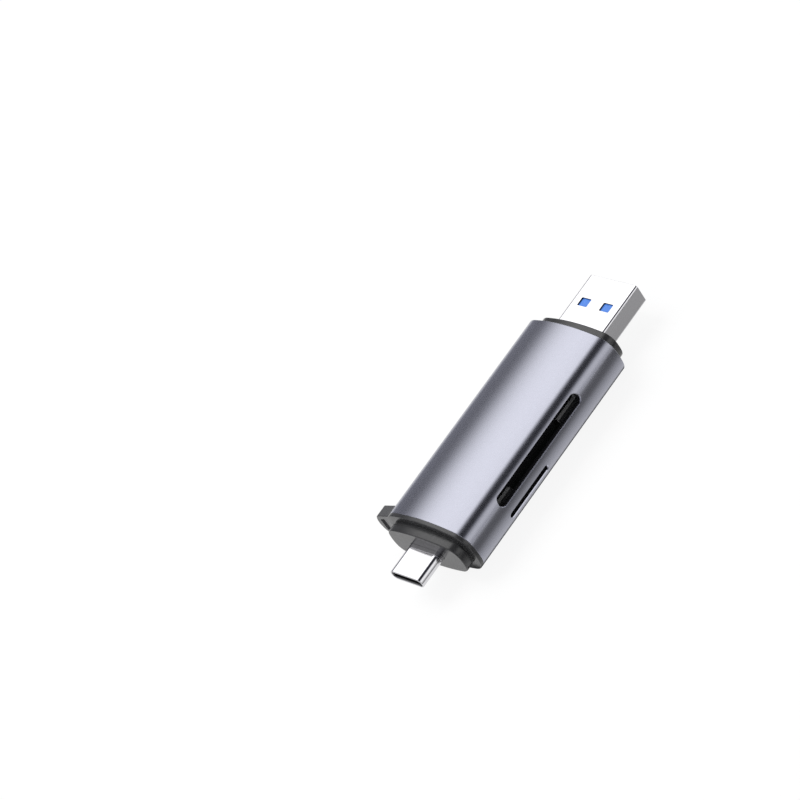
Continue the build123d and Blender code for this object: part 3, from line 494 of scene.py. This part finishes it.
class Oval:
    """Section of eight tangent arcs in Y and Z, the same that the extruded pieces have."""

    def __init__(self, half_width, half_height, top, side, corner):
        self.values = (half_width, half_height, top, side, corner)
        self.half_width, self.half_height, self.top, self.side, self.corner = self.values
        self.top_centre = Vector((0, half_height - top))
        self.side_centre = Vector((half_width - side, 0))
        to_top, to_side = top - corner, side - corner
        run = self.side_centre - self.top_centre
        along = (to_top**2 - to_side**2 + run.length**2) / (2 * run.length)
        across = math.sqrt(to_top**2 - along**2)
        unit = run.normalized()
        self.corner_centre = self.top_centre + unit * along + Vector((abs(unit.y), -unit.x)) * across

    def inset(self, distance):
        return Oval(*(value - distance for value in self.values))

    def section(self, depth):
        return self.inset(depth).loop()

    def quarter(self, steps):
        """Points from the top's middle to the side's middle."""
        top_way = (self.corner_centre - self.top_centre).normalized()
        side_way = (self.corner_centre - self.side_centre).normalized()
        turns = [math.pi / 2, math.atan2(top_way.y, top_way.x), math.atan2(side_way.y, side_way.x), 0.0]
        arcs = [(self.top_centre, self.top), (self.corner_centre, self.corner), (self.side_centre, self.side)]
        points = []
        for (centre, radius), start, end, count in zip(arcs, turns[:-1], turns[1:], steps):
            for n in range(count):
                turn = start + (end - start) * n / count
                points.append(centre + ray(turn) * radius)
        points.append(Vector((self.half_width, 0)))
        return points

    def loop(self, steps=(30, 28, 16)):
        quarter = self.quarter(steps)
        lower = [Vector((p.x, -p.y)) for p in reversed(quarter[:-1])]
        right = quarter + lower
        left = [Vector((-p.x, p.y)) for p in reversed(right[1:-1])]
        return right + left

    def side_y(self, z):
        """Half width of the section at a height."""
        height = abs(z)
        side_way = self.corner_centre - self.side_centre
        side_end = self.side_centre + side_way.normalized() * self.side
        if height <= side_end.y:
            return self.side_centre.x + math.sqrt(self.side**2 - height**2)
        return self.corner_centre.x + math.sqrt(self.corner**2 - (height - self.corner_centre.y) ** 2)


def tube(name, loops, hollow=False):
    """Closed mesh through loops of points, capped at both ends or joined into a ring."""
    mesh = bmesh.new()
    rows = [[mesh.verts.new(p) for p in points] for points in loops]
    count = len(rows[0])
    pairs = list(zip(rows, rows[1:]))
    if hollow:
        pairs.append((rows[-1], rows[0]))
    for first, second in pairs:
        for n in range(count):
            after = (n + 1) % count
            mesh.faces.new((first[n], first[after], second[after], second[n]))
    if not hollow:
        mesh.faces.new(list(reversed(rows[0])))
        mesh.faces.new(rows[-1])
    bmesh.ops.recalc_face_normals(mesh, faces=mesh.faces)
    return as_object(name, mesh)


def loft(name, rings, hollow=False):
    """Mesh through rings of (x, points in Y and Z)."""
    return tube(name, [[(x, p.x, p.y) for p in points] for x, points in rings], hollow)


def rounded_box(half_width, half_height, radius, turns=8):
    """Points of a rectangle with rounded corners."""
    radius = max(radius, CLOSE)
    reach_y, reach_z = half_width - radius, half_height - radius
    points = []
    for quarter, (side_y, side_z) in enumerate(((1, 1), (-1, 1), (-1, -1), (1, -1))):
        for n in range(turns + 1):
            turn = math.pi / 2 * (quarter + n / turns)
            points.append(Vector((side_y * reach_y, side_z * reach_z)) + ray(turn) * radius)
    return points


def lip(section, x_face, inward, radius, steps=4):
    """Rings that round an edge over, from the flat face to the side.

    The section is a function that takes how far inside the full one its points lie.
    """
    rings = []
    for n in range(steps + 1):
        turn = math.pi / 2 * n / steps
        depth = radius * (1 - math.sin(turn))
        setback = radius * (1 - math.cos(turn))
        rings.append((x_face + inward * setback, section(depth)))
    return rings


def as_object(name, mesh):
    """Object of a bmesh, which is freed."""
    data = bpy.data.meshes.new(name)
    mesh.to_mesh(data)
    mesh.free()
    obj = bpy.data.objects.new(name, data)
    bpy.context.scene.collection.objects.link(obj)
    return obj


def settle(obj):
    """Takes the modifiers' result as the object's own mesh."""
    graph = bpy.context.evaluated_depsgraph_get()
    data = bpy.data.meshes.new_from_object(obj.evaluated_get(graph))
    old = obj.data
    obj.modifiers.clear()
    obj.data = data
    bpy.data.meshes.remove(old)


def combine(obj, other, operation="DIFFERENCE"):
    """Cuts one object with another, or joins them, and deletes the other."""
    modifier = obj.modifiers.new(operation.lower(), "BOOLEAN")
    modifier.operation = operation
    modifier.solver = "EXACT"
    modifier.object = other
    settle(obj)
    bpy.data.objects.remove(other)


def smooth(obj):
    """Smooth shading with sharp creases, weighted so that large faces stay flat."""
    bpy.context.view_layer.objects.active = obj
    for other in bpy.context.selected_objects:
        other.select_set(False)
    obj.select_set(True)
    bpy.ops.object.shade_smooth_by_angle(angle=math.radians(CREASE))
    modifier = obj.modifiers.new("weights", "WEIGHTED_NORMAL")
    modifier.keep_sharp = True
    modifier.weight = FLAT_WEIGHT
    settle(obj)


def finish_piece(obj, node):
    """Shades, dresses and seats a piece that stands for a CAD node."""
    if not obj.data.polygons:
        raise RuntimeError(f"{obj.name} has lost its faces")
    smooth(obj)
    dress(obj, slot_of(node))
    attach(obj, ROOT)
    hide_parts(node)
    return obj


def sleeve_oval():
    """Outer section of the sleeve."""
    sizes = bpy.context.scene.reader_sizes
    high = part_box("sleeve")[1]
    return Oval(high.y, high.z, sizes.sleeve_top, sizes.sleeve_side, sizes.sleeve_corner)


def nose_oval():
    """Outer section of both noses."""
    sizes = bpy.context.scene.reader_sizes
    return Oval(
        sizes.nose_half_width, sizes.nose_half_height, sizes.nose_top, sizes.nose_side, sizes.nose_corner
    )


def box_cutter(name, low, high):
    """Plain block used only to cut."""
    corners = [(low[0], low[1]), (high[0], low[1]), (high[0], high[1]), (low[0], high[1])]
    return tube(name, [[(x, y, z) for x, y in corners] for z in (low[2], high[2])])


def card_mouth(size):
    """Centre's X and Z, length and height of the large or the small card mouth."""
    sizes = bpy.context.scene.reader_sizes
    inset, rise, long, high = (
        getattr(sizes, f"{size}_mouth_{part}") for part in ("inset", "rise", "length", "height")
    )
    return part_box("sleeve")[0].x + inset + long / 2, rise, long, high


def mouth_outline(mouth, turns=24, longest=0.6 * MM):
    """Round-ended outline in X and Z: points, each with its outward direction."""
    x, z, long, high = mouth
    radius = high / 2
    reach = long / 2 - radius
    runs = math.ceil(2 * reach / longest)
    points = []
    for side in (1, -1):
        for n in range(turns + 1):
            outward = ray(math.pi * (n / turns - side / 2))
            points.append((Vector((x + side * reach, z)) + outward * radius, outward))
        for n in range(1, runs):
            place = Vector((x + side * reach * (1 - 2 * n / runs), z + side * radius))
            points.append((place, Vector((0, side))))
    return points


def mouth_cutter(oval, mouth, edge_break):
    """Cutter that opens the wall and chamfers the rim where it meets the curved surface."""
    outline = mouth_outline(mouth)
    plain = [point for point, outward in outline]
    wide = [point + outward * 2 * edge_break for point, outward in outline]
    loops = [
        [(p.x, 0.0, p.y) for p in plain],
        [(p.x, -oval.side_y(p.y) + edge_break, p.y) for p in plain],
        [(p.x, -oval.side_y(p.y) - edge_break, p.y) for p in wide],
        [(p.x, -2 * oval.half_width, p.y) for p in wide],
    ]
    return tube("mouth_cutter", loops)


SLANTED = (0.2, 0.93)  # share of a broken edge's normal along the oval's radius, from and to
EDGE_BRIGHTNESS = 0.6  # how far a broken edge goes to the colour of bare metal
SKIN = 0.05 * MM  # faces no deeper than this belong to the outer skin


def mark_sleeve(obj, oval, edge_break):
    """Marks inner walls, which get painted shade, and broken edges so that the finish can tell them apart."""
    data = obj.data
    inner = data.attributes.new("painted_shade_wall", "FLOAT", "FACE")
    broken = data.attributes.new("broken_edge", "FLOAT", "FACE")
    low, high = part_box("sleeve")
    for polygon in data.polygons:
        centre, normal = polygon.center, polygon.normal
        depth = section_depth(oval, centre)
        at_end = min(centre.x - low.x, high.x - centre.x) < 1.5 * edge_break
        slanted = SLANTED[0] < radial_share(oval, centre, normal) < SLANTED[1]
        if slanted and depth < 2 * edge_break:
            broken.data[polygon.index].value = EDGE_BRIGHTNESS
        # Faces inside the outer skin get painted shade
        elif depth > SKIN and not at_end:
            inner.data[polygon.index].value = 1.0


def section_depth(oval, point):
    """How far a point lies inside the oval."""
    way, radius = arc_way(oval, point)
    return radius - way.length


def arc_way(oval, point):
    """Vector from the centre of the arc that a point belongs to, and that arc's radius."""
    p = Vector((abs(point.y), abs(point.z)))
    from_corner = p - oval.corner_centre
    top_way = oval.corner_centre - oval.top_centre
    side_way = oval.corner_centre - oval.side_centre
    if top_way.x * from_corner.y - top_way.y * from_corner.x > 0:
        return p - oval.top_centre, oval.top
    if side_way.x * from_corner.y - side_way.y * from_corner.x < 0:
        return p - oval.side_centre, oval.side
    return from_corner, oval.corner


def radial_share(oval, point, normal):
    """Share of a face's normal that points along the oval's radius."""
    way = arc_way(oval, point)[0].normalized()
    return abs(abs(normal.y) * way.x + abs(normal.z) * way.y)


def make_sleeve():
    """Extruded sleeve with broken ends and two chamfered card mouths."""
    sizes = bpy.context.scene.reader_sizes
    low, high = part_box("sleeve")
    oval = sleeve_oval()
    rings = lip(oval.section, low.x, 1, sizes.end_break)
    rings += reversed(lip(oval.section, high.x, -1, sizes.end_break))
    sleeve = loft("sleeve_shell", rings)
    for size in ("large", "small"):
        combine(sleeve, mouth_cutter(oval, card_mouth(size), sizes.mouth_break))
    inner = oval.inset(sizes.sleeve_wall).loop()
    combine(sleeve, loft("bore", [(low.x - OVERCUT, inner), (high.x + OVERCUT, inner)]))
    mark_sleeve(sleeve, oval, sizes.end_break)
    finish_piece(sleeve, "sleeve")


class READER_OT_sleeve(bpy.types.Operator):
    """Builds the satin sleeve with its two card mouths"""

    bl_idname = "reader.sleeve"
    bl_label = "Sleeve"

    def execute(self, context):
        make_sleeve()
        return {"FINISHED"}


def hollow_cap(cap, spigot, x_open, x_nose_floor, x_spigot_floor, plug, corner):
    """Cuts the hollows behind the nose and in the spigot, and the hole that fits the plug's section."""
    sizes = bpy.context.scene.reader_sizes
    outward = 1 if x_nose_floor > x_open else -1
    nose_hollow = nose_oval().section(sizes.cap_wall)
    spigot_hollow = spigot.section(sizes.spigot_wall)
    hole = rounded_box(plug.y + sizes.plug_fit, plug.z + sizes.plug_fit, corner)
    beyond = x_nose_floor + outward * (sizes.cap_wall + OVERCUT)
    for section, x_end in ((nose_hollow, x_nose_floor), (spigot_hollow, x_spigot_floor), (hole, beyond)):
        combine(cap, loft("hollow", [(x_open - outward * OVERCUT, section), (x_end, section)]))


def make_a_cap():
    """End cap round the wide plug, with the ring that its nose stands out of."""
    sizes = bpy.context.scene.reader_sizes
    low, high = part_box("usb_a_end_cap")
    nose = nose_oval()
    spigot = sleeve_oval().inset(sizes.sleeve_wall + sizes.spigot_fit)
    ring_face = high.x - sizes.a_nose
    rings = lip(nose.section, high.x, -1, sizes.nose_edge)
    rings += [(ring_face, nose.loop()), (ring_face, spigot.loop()), (low.x, spigot.loop())]
    cap = loft("wide_plug_cap", rings)
    floor_x = (high.x - sizes.cap_wall, ring_face - sizes.cap_wall)
    hollow_cap(cap, spigot, low.x, *floor_x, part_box("usb_a_shell")[1], sizes.a_shell_corner)
    finish_piece(cap, "usb_a_end_cap")


def lug_profile():
    """Tapered outline with a crowned outer edge, in Y and Z, and its shoulder's Y."""
    sizes = bpy.context.scene.reader_sizes
    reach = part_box("strap_lug")[1].y
    shoulder = reach - sizes.lug_crown
    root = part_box("sleeve")[1].y - sizes.lug_root_depth
    radius = (sizes.lug_crown**2 + sizes.lug_shoulder**2) / (2 * sizes.lug_crown)
    upper = [Vector((root, sizes.lug_root)), Vector((shoulder, sizes.lug_shoulder))]
    crown_edge, steps = 0.8 * sizes.lug_shoulder, 6
    heights = [crown_edge * (1 - n / steps) for n in range(steps + 1)]
    upper += [Vector((reach - radius + math.sqrt(radius**2 - z**2), z)) for z in heights]
    lower = [Vector((p.x, -p.y)) for p in reversed(upper[:-1])]
    return upper + lower, shoulder


def bevel_edges(obj, chosen, width, segments):
    """Rounds the edges for which the test holds."""
    mesh = bmesh.new()
    mesh.from_mesh(obj.data)
    edges = [edge for edge in mesh.edges if chosen(edge)]
    bmesh.ops.bevel(
        mesh, geom=edges, offset=width, segments=segments, profile=0.5, affect="EDGES", clamp_overlap=True
    )
    mesh.to_mesh(obj.data)
    mesh.free()


def runs_along_x(edge):
    run = edge.verts[1].co - edge.verts[0].co
    return abs(run.x) > 0.9 * run.length


def make_lug():
    """Strap lug, its inner side just clear of the sleeve, with the hole still to cut."""
    sizes = bpy.context.scene.reader_sizes
    low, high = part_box("strap_lug")
    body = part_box("sleeve")
    profile, shoulder = lug_profile()
    lug = loft("lug", [(low.x, profile), (high.x, profile)])

    def at_shoulder(edge):
        return runs_along_x(edge) and abs(edge.verts[0].co.y - shoulder) < CLOSE

    def on_outline(edge):
        return not runs_along_x(edge) and max(vert.co.y for vert in edge.verts) > body[1].y

    bevel_edges(lug, at_shoulder, sizes.lug_corner, 6)
    bevel_edges(lug, on_outline, sizes.lug_edge, 3)
    clear = sleeve_oval().inset(-sizes.spigot_fit).loop()
    combine(lug, loft("clear", [(body[0].x, clear), (high.x + OVERCUT, clear)]))
    return lug


def strap_hole():
    """Cutter of the lug's tapered strap hole."""
    sizes = bpy.context.scene.reader_sizes
    low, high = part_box("strap_lug")
    outer = high.y - sizes.lug_rim
    inner = outer - sizes.lug_hole
    corners = [
        (outer, sizes.lug_hole_outer),
        (inner, sizes.lug_hole_inner),
        (inner, -sizes.lug_hole_inner),
        (outer, -sizes.lug_hole_outer),
    ]
    ends = (low.x - OVERCUT, high.x + OVERCUT)
    hole = tube("strap_hole", [[(x, y, z) for y, z in corners] for x in ends])
    bevel_edges(hole, runs_along_x, sizes.lug_corner, 5)
    return hole


def mark_strap_hole(cap):
    """Marks the strap hole's walls, which get painted light."""
    sizes = bpy.context.scene.reader_sizes
    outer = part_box("strap_lug")[1].y - sizes.lug_rim
    painted_light_mask = cap.data.attributes.new("painted_light_hole", "FLOAT", "FACE")
    for polygon in cap.data.polygons:
        middle = polygon.center
        inside = outer - sizes.lug_hole - CLOSE < middle.y < outer + CLOSE
        if inside and abs(middle.z) < sizes.lug_hole_inner + CLOSE and abs(polygon.normal.x) < 0.5:
            painted_light_mask.data[polygon.index].value = 1.0


def make_c_cap():
    """End cap round the narrow plug, in one piece with its flange and the strap lug."""
    sizes = bpy.context.scene.reader_sizes
    low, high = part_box("usb_c_end_cap")
    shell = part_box("usb_c_shell")[1]
    nose = nose_oval()
    body = sleeve_oval()
    spigot = body.inset(sizes.sleeve_wall + sizes.spigot_fit)
    flange_face = low.x + sizes.c_nose
    sleeve_face = flange_face + sizes.c_flange
    rings = lip(nose.section, low.x, 1, sizes.nose_edge)
    groove = nose.section(sizes.c_groove_depth)
    groove_face = flange_face - sizes.c_groove_width
    rings += [(groove_face, nose.loop()), (groove_face, groove), (flange_face, groove)]
    rings += lip(body.section, flange_face, 1, sizes.end_break)
    rings += [(sleeve_face, body.loop()), (sleeve_face, spigot.loop()), (high.x, spigot.loop())]
    cap = loft("narrow_plug_cap", rings)
    combine(cap, make_lug(), "UNION")
    combine(cap, strap_hole())
    mark_strap_hole(cap)
    floor_x = (low.x + sizes.cap_wall, sleeve_face + sizes.cap_wall)
    hollow_cap(cap, spigot, high.x, *floor_x, shell, shell.z)
    piece = finish_piece(cap, "usb_c_end_cap")
    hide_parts("strap_lug")


class READER_OT_end_caps(bpy.types.Operator):
    """Builds the two plastic end caps and the strap lug"""

    bl_idname = "reader.end_caps"
    bl_label = "End caps"

    def execute(self, context):
        make_a_cap()
        make_c_cap()
        return {"FINISHED"}


def shell_rings(outer, inner, x_tip, x_rear, inward, edge):
    """Rings of a tube with a rounded mouth."""
    rings = [(x_rear, outer(0.0))]
    rings += reversed(lip(outer, x_tip, inward, edge))
    rings += lip(inner, x_tip, inward, edge)
    rings += [(x_rear, inner(0.0))]
    return rings


def trim_to_tabs(shell, x_root, x_end, half_height):
    """Cuts a shell's rear away above and below its side tabs."""
    low_x, high_x = sorted((x_root, x_end + (x_end - x_root)))
    for low_z, high_z in ((half_height, PLUG_REACH), (-PLUG_REACH, -half_height)):
        combine(shell, box_cutter("tab_cut", (low_x, -PLUG_REACH, low_z), (high_x, PLUG_REACH, high_z)))


def make_windows(shell):
    """Cuts the two windows of the wide plug through both broad walls and marks their cut edges for painted
    shade.
    """
    sizes = bpy.context.scene.reader_sizes
    tip, half_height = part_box("usb_a_shell")[1].x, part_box("usb_a_shell")[1].z
    outline = rounded_box(sizes.window_length / 2, sizes.window_width / 2, sizes.window_corner, 4)
    centre_x = tip - sizes.window_setback - sizes.window_length / 2
    for side in (1, -1):
        window = [(centre_x + p.x, side * sizes.window_offset + p.y) for p in outline]
        loops = [[(x, y, z) for x, y in window] for z in (-2 * half_height, 2 * half_height)]
        combine(shell, tube("window", loops))
    reach_x, reach_y = sizes.window_length / 2 + CLOSE, sizes.window_width / 2 + CLOSE
    # The windows' cut edges get painted shade
    painted_shade_edge = shell.data.attributes.new("painted_shade_edge", "FLOAT", "FACE")
    for polygon in shell.data.polygons:
        aside_x, aside_y = polygon.center.x - centre_x, abs(polygon.center.y) - sizes.window_offset
        if abs(aside_x) < reach_x and abs(aside_y) < reach_y and abs(polygon.normal.z) < 0.1:
            painted_shade_edge.data[polygon.index].value = 1.0


def make_a_shell():
    """Wide plug's shell of folded sheet, with tabs, windows and the fold's seam."""
    sizes = bpy.context.scene.reader_sizes
    low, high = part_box("usb_a_shell")
    wall, corner = sizes.a_shell_wall, sizes.a_shell_corner

    def outer(depth):
        return rounded_box(high.y - depth, high.z - depth, corner - depth)

    def inner(depth):
        return outer(wall - depth)

    rings = shell_rings(outer, inner, high.x, low.x, -1, sizes.a_shell_edge)
    shell = loft("wide_plug_shell", rings, hollow=True)
    trim_to_tabs(shell, low.x + sizes.a_tab_length, low.x, sizes.a_tab_half)
    make_windows(shell)
    groove = sizes.a_seam / 2
    seam_low = (low.x - groove, -groove, -2 * high.z)
    seam_high = (high.x + groove, groove, sizes.a_seam - high.z)
    combine(shell, box_cutter("fold_seam", seam_low, seam_high))
    finish_piece(shell, "usb_a_shell")


def make_c_shell():
    """Narrow plug's drawn shell, with tabs and the fine seam round it."""
    sizes = bpy.context.scene.reader_sizes
    low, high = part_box("usb_c_shell")
    wall = sizes.c_shell_wall

    def outer(depth):
        return rounded_box(high.y - depth, high.z - depth, high.z - depth, 20)

    def inner(depth):
        return outer(wall - depth)

    rings = shell_rings(outer, inner, low.x, high.x, 1, sizes.c_shell_edge)
    seam_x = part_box("usb_c_end_cap")[0].x - sizes.c_seam_setback
    groove = sizes.c_seam / 2
    steps = ((groove, 0.0), (groove, sizes.c_seam), (-groove, sizes.c_seam), (-groove, 0.0))
    seam = [(seam_x + aside, outer(depth)) for aside, depth in steps]
    shell = loft("narrow_plug_shell", rings[:1] + seam + rings[1:], hollow=True)
    trim_to_tabs(shell, high.x - sizes.c_tab_length, high.x, sizes.c_tab_half)
    finish_piece(shell, "usb_c_shell")


def make_tongue():
    """Blue tongue with broken edges and a chamfered nose."""
    sizes = bpy.context.scene.reader_sizes
    low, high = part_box("usb_a_tongue")

    def under_tip(edge):
        return all(vert.co.x > high.x - CLOSE and vert.co.z < low.z + CLOSE for vert in edge.verts)

    def upper_side(edge):
        return runs_along_x(edge) and all(vert.co.z > high.z - CLOSE for vert in edge.verts)

    def sharp(edge):
        return edge.calc_face_angle(0.0) > 0.5

    tongue = box_cutter("wide_plug_tongue", low, high)
    bevel_edges(tongue, under_tip, sizes.tongue_nose, 1)
    bevel_edges(tongue, upper_side, sizes.tongue_side, 4)
    bevel_edges(tongue, sharp, sizes.tongue_edge, 2)
    finish_piece(tongue, "usb_a_tongue")


class READER_OT_plugs(bpy.types.Operator):
    """Builds the two plugs' steel shells and the wide plug's tongue"""

    bl_idname = "reader.plugs"
    bl_label = "Plugs"

    def execute(self, context):
        make_a_shell()
        make_c_shell()
        make_tongue()
        return {"FINISHED"}


class READER_OT_inner_parts(bpy.types.Operator):
    """Dresses the nodes that stay as the CAD has them: carriers, board, sockets and small parts"""

    bl_idname = "reader.inner_parts"
    bl_label = "Inner parts"

    def execute(self, context):
        for node, obj in frame["nodes"].items():
            if not obj.hide_render:
                dress(obj, slot_of(node))
        return {"FINISHED"}


# Place and axes of the camera, fitted to the photograph
CAMERA_PLACE = Vector((-241.16, -418.76, 414.67)) * MM
CAMERA_RIGHT = Vector((0.5625, -0.6889, -0.4572))
CAMERA_BACK = Vector((-0.3295, -0.6939, 0.6402))


def make_camera():
    """Camera at the photograph's viewing angle."""
    studio = bpy.context.scene.reader_studio
    data = bpy.data.cameras.new("camera")
    data.sensor_width = 36.0
    data.lens = studio.lens
    data.shift_x = studio.shift_x
    data.shift_y = studio.shift_y
    data.clip_start = 0.01
    camera = bpy.data.objects.new("camera", data)
    back = CAMERA_BACK.normalized()
    right = (CAMERA_RIGHT - back * CAMERA_RIGHT.dot(back)).normalized()
    up = back.cross(right)
    turn = Matrix((right, up, back)).transposed().to_4x4()
    camera.matrix_world = Matrix.Translation(CAMERA_PLACE) @ turn
    bpy.context.scene.collection.objects.link(camera)
    bpy.context.scene.camera = camera


def heading(azimuth, elevation):
    """Unit vector of a direction, its angles in degrees."""
    a, e = math.radians(azimuth), math.radians(elevation)
    return Vector((math.cos(e) * math.cos(a), math.cos(e) * math.sin(a), math.sin(e)))


# Soft boxes of the studio: azimuth, elevation, inner and outer half angle in degrees, strength. The last
# one lights only what is seen from behind
SOFT_BOXES = (
    (52.0, 57.0, 6.0, 34.0, 2.08),
    (-68.0, 21.0, 6.0, 27.0, 1.2),
    (70.0, 0.0, 4.0, 26.0, 0.5),
    (180.0, 35.0, 20.0, 60.0, 0.7),
    (118.0, 41.0, 6.0, 26.0, 0.7),
    (-36.0, 13.0, 5.0, 22.0, 0.8),
)
AMBIENT = 0.035
SHADE_TINT = (0.82, 0.84, 1.0)

# Dark cards on the floor. The one under the sleeve is painted shade, where reflections would see the floor's
# shade. Each has its X from and to, the Y where it fades in from and to, the Y of its far edge, and its cover
# near the reader and at that edge
CARDS = {
    # Painted shade under the sleeve, seen only in reflections
    "painted_shade_card": (-51.0, -0.5, -10.3, -9.8, 8.0, 0.9, 0.9),
    "side_card": (-110.0, 3.0, -12.5, -19.5, -75.0, 0.86, 0.3),
    "plug_card": (3.0, 50.0, -7.6, -9.0, -18.0, 0.62, 0.62),
    "far_card": (3.0, 50.0, -18.0, -22.0, -75.0, 0.95, 0.5),
}


def make_world():
    """Soft boxes that light the part, bluish where they are weak, and an even pale ground for the camera."""
    world = bpy.data.worlds.new("studio")
    world.use_nodes = True
    bpy.context.scene.world = world
    graph = Graph(world.node_tree)
    background = graph.tree.nodes["Background"]
    direction = graph.node("ShaderNodeTexCoord").outputs["Generated"]
    total = AMBIENT
    for azimuth, elevation, inner, outer, strength in SOFT_BOXES:
        way = {1: heading(azimuth, elevation)}
        nearness = graph.node("ShaderNodeVectorMath", way, operation="DOT_PRODUCT")
        graph.link(direction, nearness.inputs[0])
        levels = {1: math.cos(math.radians(outer)), 2: math.cos(math.radians(inner)), 4: strength}
        ramp = graph.node("ShaderNodeMapRange", levels, interpolation_type="SMOOTHSTEP")
        graph.link(nearness.outputs["Value"], ramp.inputs[0])
        total = graph.calculate("ADD", total, ramp.outputs[0])
    graph.link(graph.mix(total, SHADE_TINT, (1.0, 1.0, 1.0)), background.inputs["Color"])
    seen = graph.node("ShaderNodeMix", {3: 1.0})
    graph.link(graph.node("ShaderNodeLightPath").outputs["Is Camera Ray"], seen.inputs[0])
    graph.link(total, seen.inputs[2])
    graph.link(seen.outputs[0], background.inputs["Strength"])


# Half the floor's side, in metres, the strength of its white, and how much of what camera and
# reflections see is that white: the rest is the lit floor with its shadow
FLOOR_REACH = 3.0
FLOOR_WHITE = 1.02
FLOOR_WHITE_SHARE = 0.88


def make_floor():
    """Pale floor, near white to the camera and in reflections, that keeps the shadow."""
    studio = bpy.context.scene.reader_studio
    mesh = bmesh.new()
    bmesh.ops.create_grid(mesh, x_segments=1, y_segments=1, size=FLOOR_REACH)
    floor = as_object("floor", mesh)
    floor.location.z = CAD_BOUNDS[0][2]
    graph = Finish("pale_floor")
    pale = tuple(studio.floor)
    graph.color_from(graph.mottle(0.02, pale, scaled(pale, 0.985)))
    graph.set("Roughness", 0.9)
    glow = graph.node("ShaderNodeEmission", {"Strength": FLOOR_WHITE})
    path = graph.node("ShaderNodeLightPath")
    either = graph.calculate("MAXIMUM", path.outputs["Is Camera Ray"], path.outputs["Is Glossy Ray"])
    graph.blend(graph.calculate("MULTIPLY", either, FLOOR_WHITE_SHARE), graph.shader, glow)
    floor.data.materials.append(graph.material)


CARD_RISE = 0.05 * MM  # how far a card lies over the floor


def make_card(name, x_low, x_high, start, end, far, cover, far_cover):
    """Dark card just over the floor that only reflections see, fading in from one Y to another."""
    y_low, y_high = sorted((start, far))
    z = CAD_BOUNDS[0][2] + CARD_RISE
    corners = [(x_low, y_low), (x_high, y_low), (x_high, y_high), (x_low, y_high)]
    mesh = bmesh.new()
    mesh.faces.new([mesh.verts.new((x * MM, y * MM, z)) for x, y in corners])
    card = as_object(name, mesh)
    graph = Finish(name)
    graph.color_from(graph.mix(graph.noise(0.05), (0.02, 0.02, 0.02), (0.03, 0.03, 0.03)))
    graph.set("Roughness", 1.0)
    along = graph.along("Y")
    rise = graph.spread(along, 0.0, 1.0, start, end)
    share = graph.calculate("MULTIPLY", rise, graph.spread(along, cover, far_cover, end, far))
    graph.blend(share, graph.node("ShaderNodeBsdfTransparent"), graph.shader)
    card.data.materials.append(graph.material)
    for kind in ("camera", "diffuse", "shadow", "transmission"):
        setattr(card, f"visible_{kind}", False)


# Side, power and place of the key light, in metres and watts
LAMP_SIDE = 0.5
LAMP_POWER = 4.6
LAMP_PLACE = heading(100.0, 60.0) * 0.9


def make_lamp():
    """Large soft key light that reflections don't see."""
    data = bpy.data.lights.new("soft_key", "AREA")
    data.shape = "SQUARE"
    data.size = LAMP_SIDE
    data.energy = LAMP_POWER
    lamp = bpy.data.objects.new("soft_key", data)
    lamp.location = LAMP_PLACE
    lamp.rotation_euler = LAMP_PLACE.to_track_quat("Z", "Y").to_euler()
    lamp.visible_glossy = False
    bpy.context.scene.collection.objects.link(lamp)


class READER_OT_stage(bpy.types.Operator):
    """Sets the floor, the studio light and the camera"""

    bl_idname = "reader.stage"
    bl_label = "Stage"

    def execute(self, context):
        make_camera()
        make_world()
        make_floor()
        make_lamp()
        for name, values in CARDS.items():
            make_card(name, *values)
        context.scene.view_settings.view_transform = "Standard"
        return {"FINISHED"}


class READER_PT_panel(bpy.types.Panel):
    """Lists the steps that build the reader's looks"""

    bl_idname = "READER_PT_panel"
    bl_label = "Card Reader"
    bl_space_type = "VIEW_3D"
    bl_region_type = "UI"
    bl_category = "Card Reader"

    def draw(self, context):
        for operator in OPERATORS:
            self.layout.operator(operator.bl_idname)


OPERATORS = (READER_OT_sleeve, READER_OT_end_caps, READER_OT_plugs, READER_OT_inner_parts, READER_OT_stage)
GROUPS = {"reader_sizes": ReaderSizes, "reader_finish": ReaderFinish, "reader_studio": ReaderStudio}


def register():
    for cls in (*GROUPS.values(), *OPERATORS, READER_PT_panel):
        bpy.utils.register_class(cls)
    for name, group in GROUPS.items():
        setattr(bpy.types.Scene, name, bpy.props.PointerProperty(type=group))


def unregister():
    for name in GROUPS:
        delattr(bpy.types.Scene, name)
    for cls in reversed((*GROUPS.values(), *OPERATORS, READER_PT_panel)):
        bpy.utils.unregister_class(cls)


def main():
    register()
    bpy.ops.reader.sleeve()
    bpy.ops.reader.end_caps()
    bpy.ops.reader.plugs()
    bpy.ops.reader.inner_parts()
    bpy.ops.reader.stage()


if __name__ == "__main__":
    main()
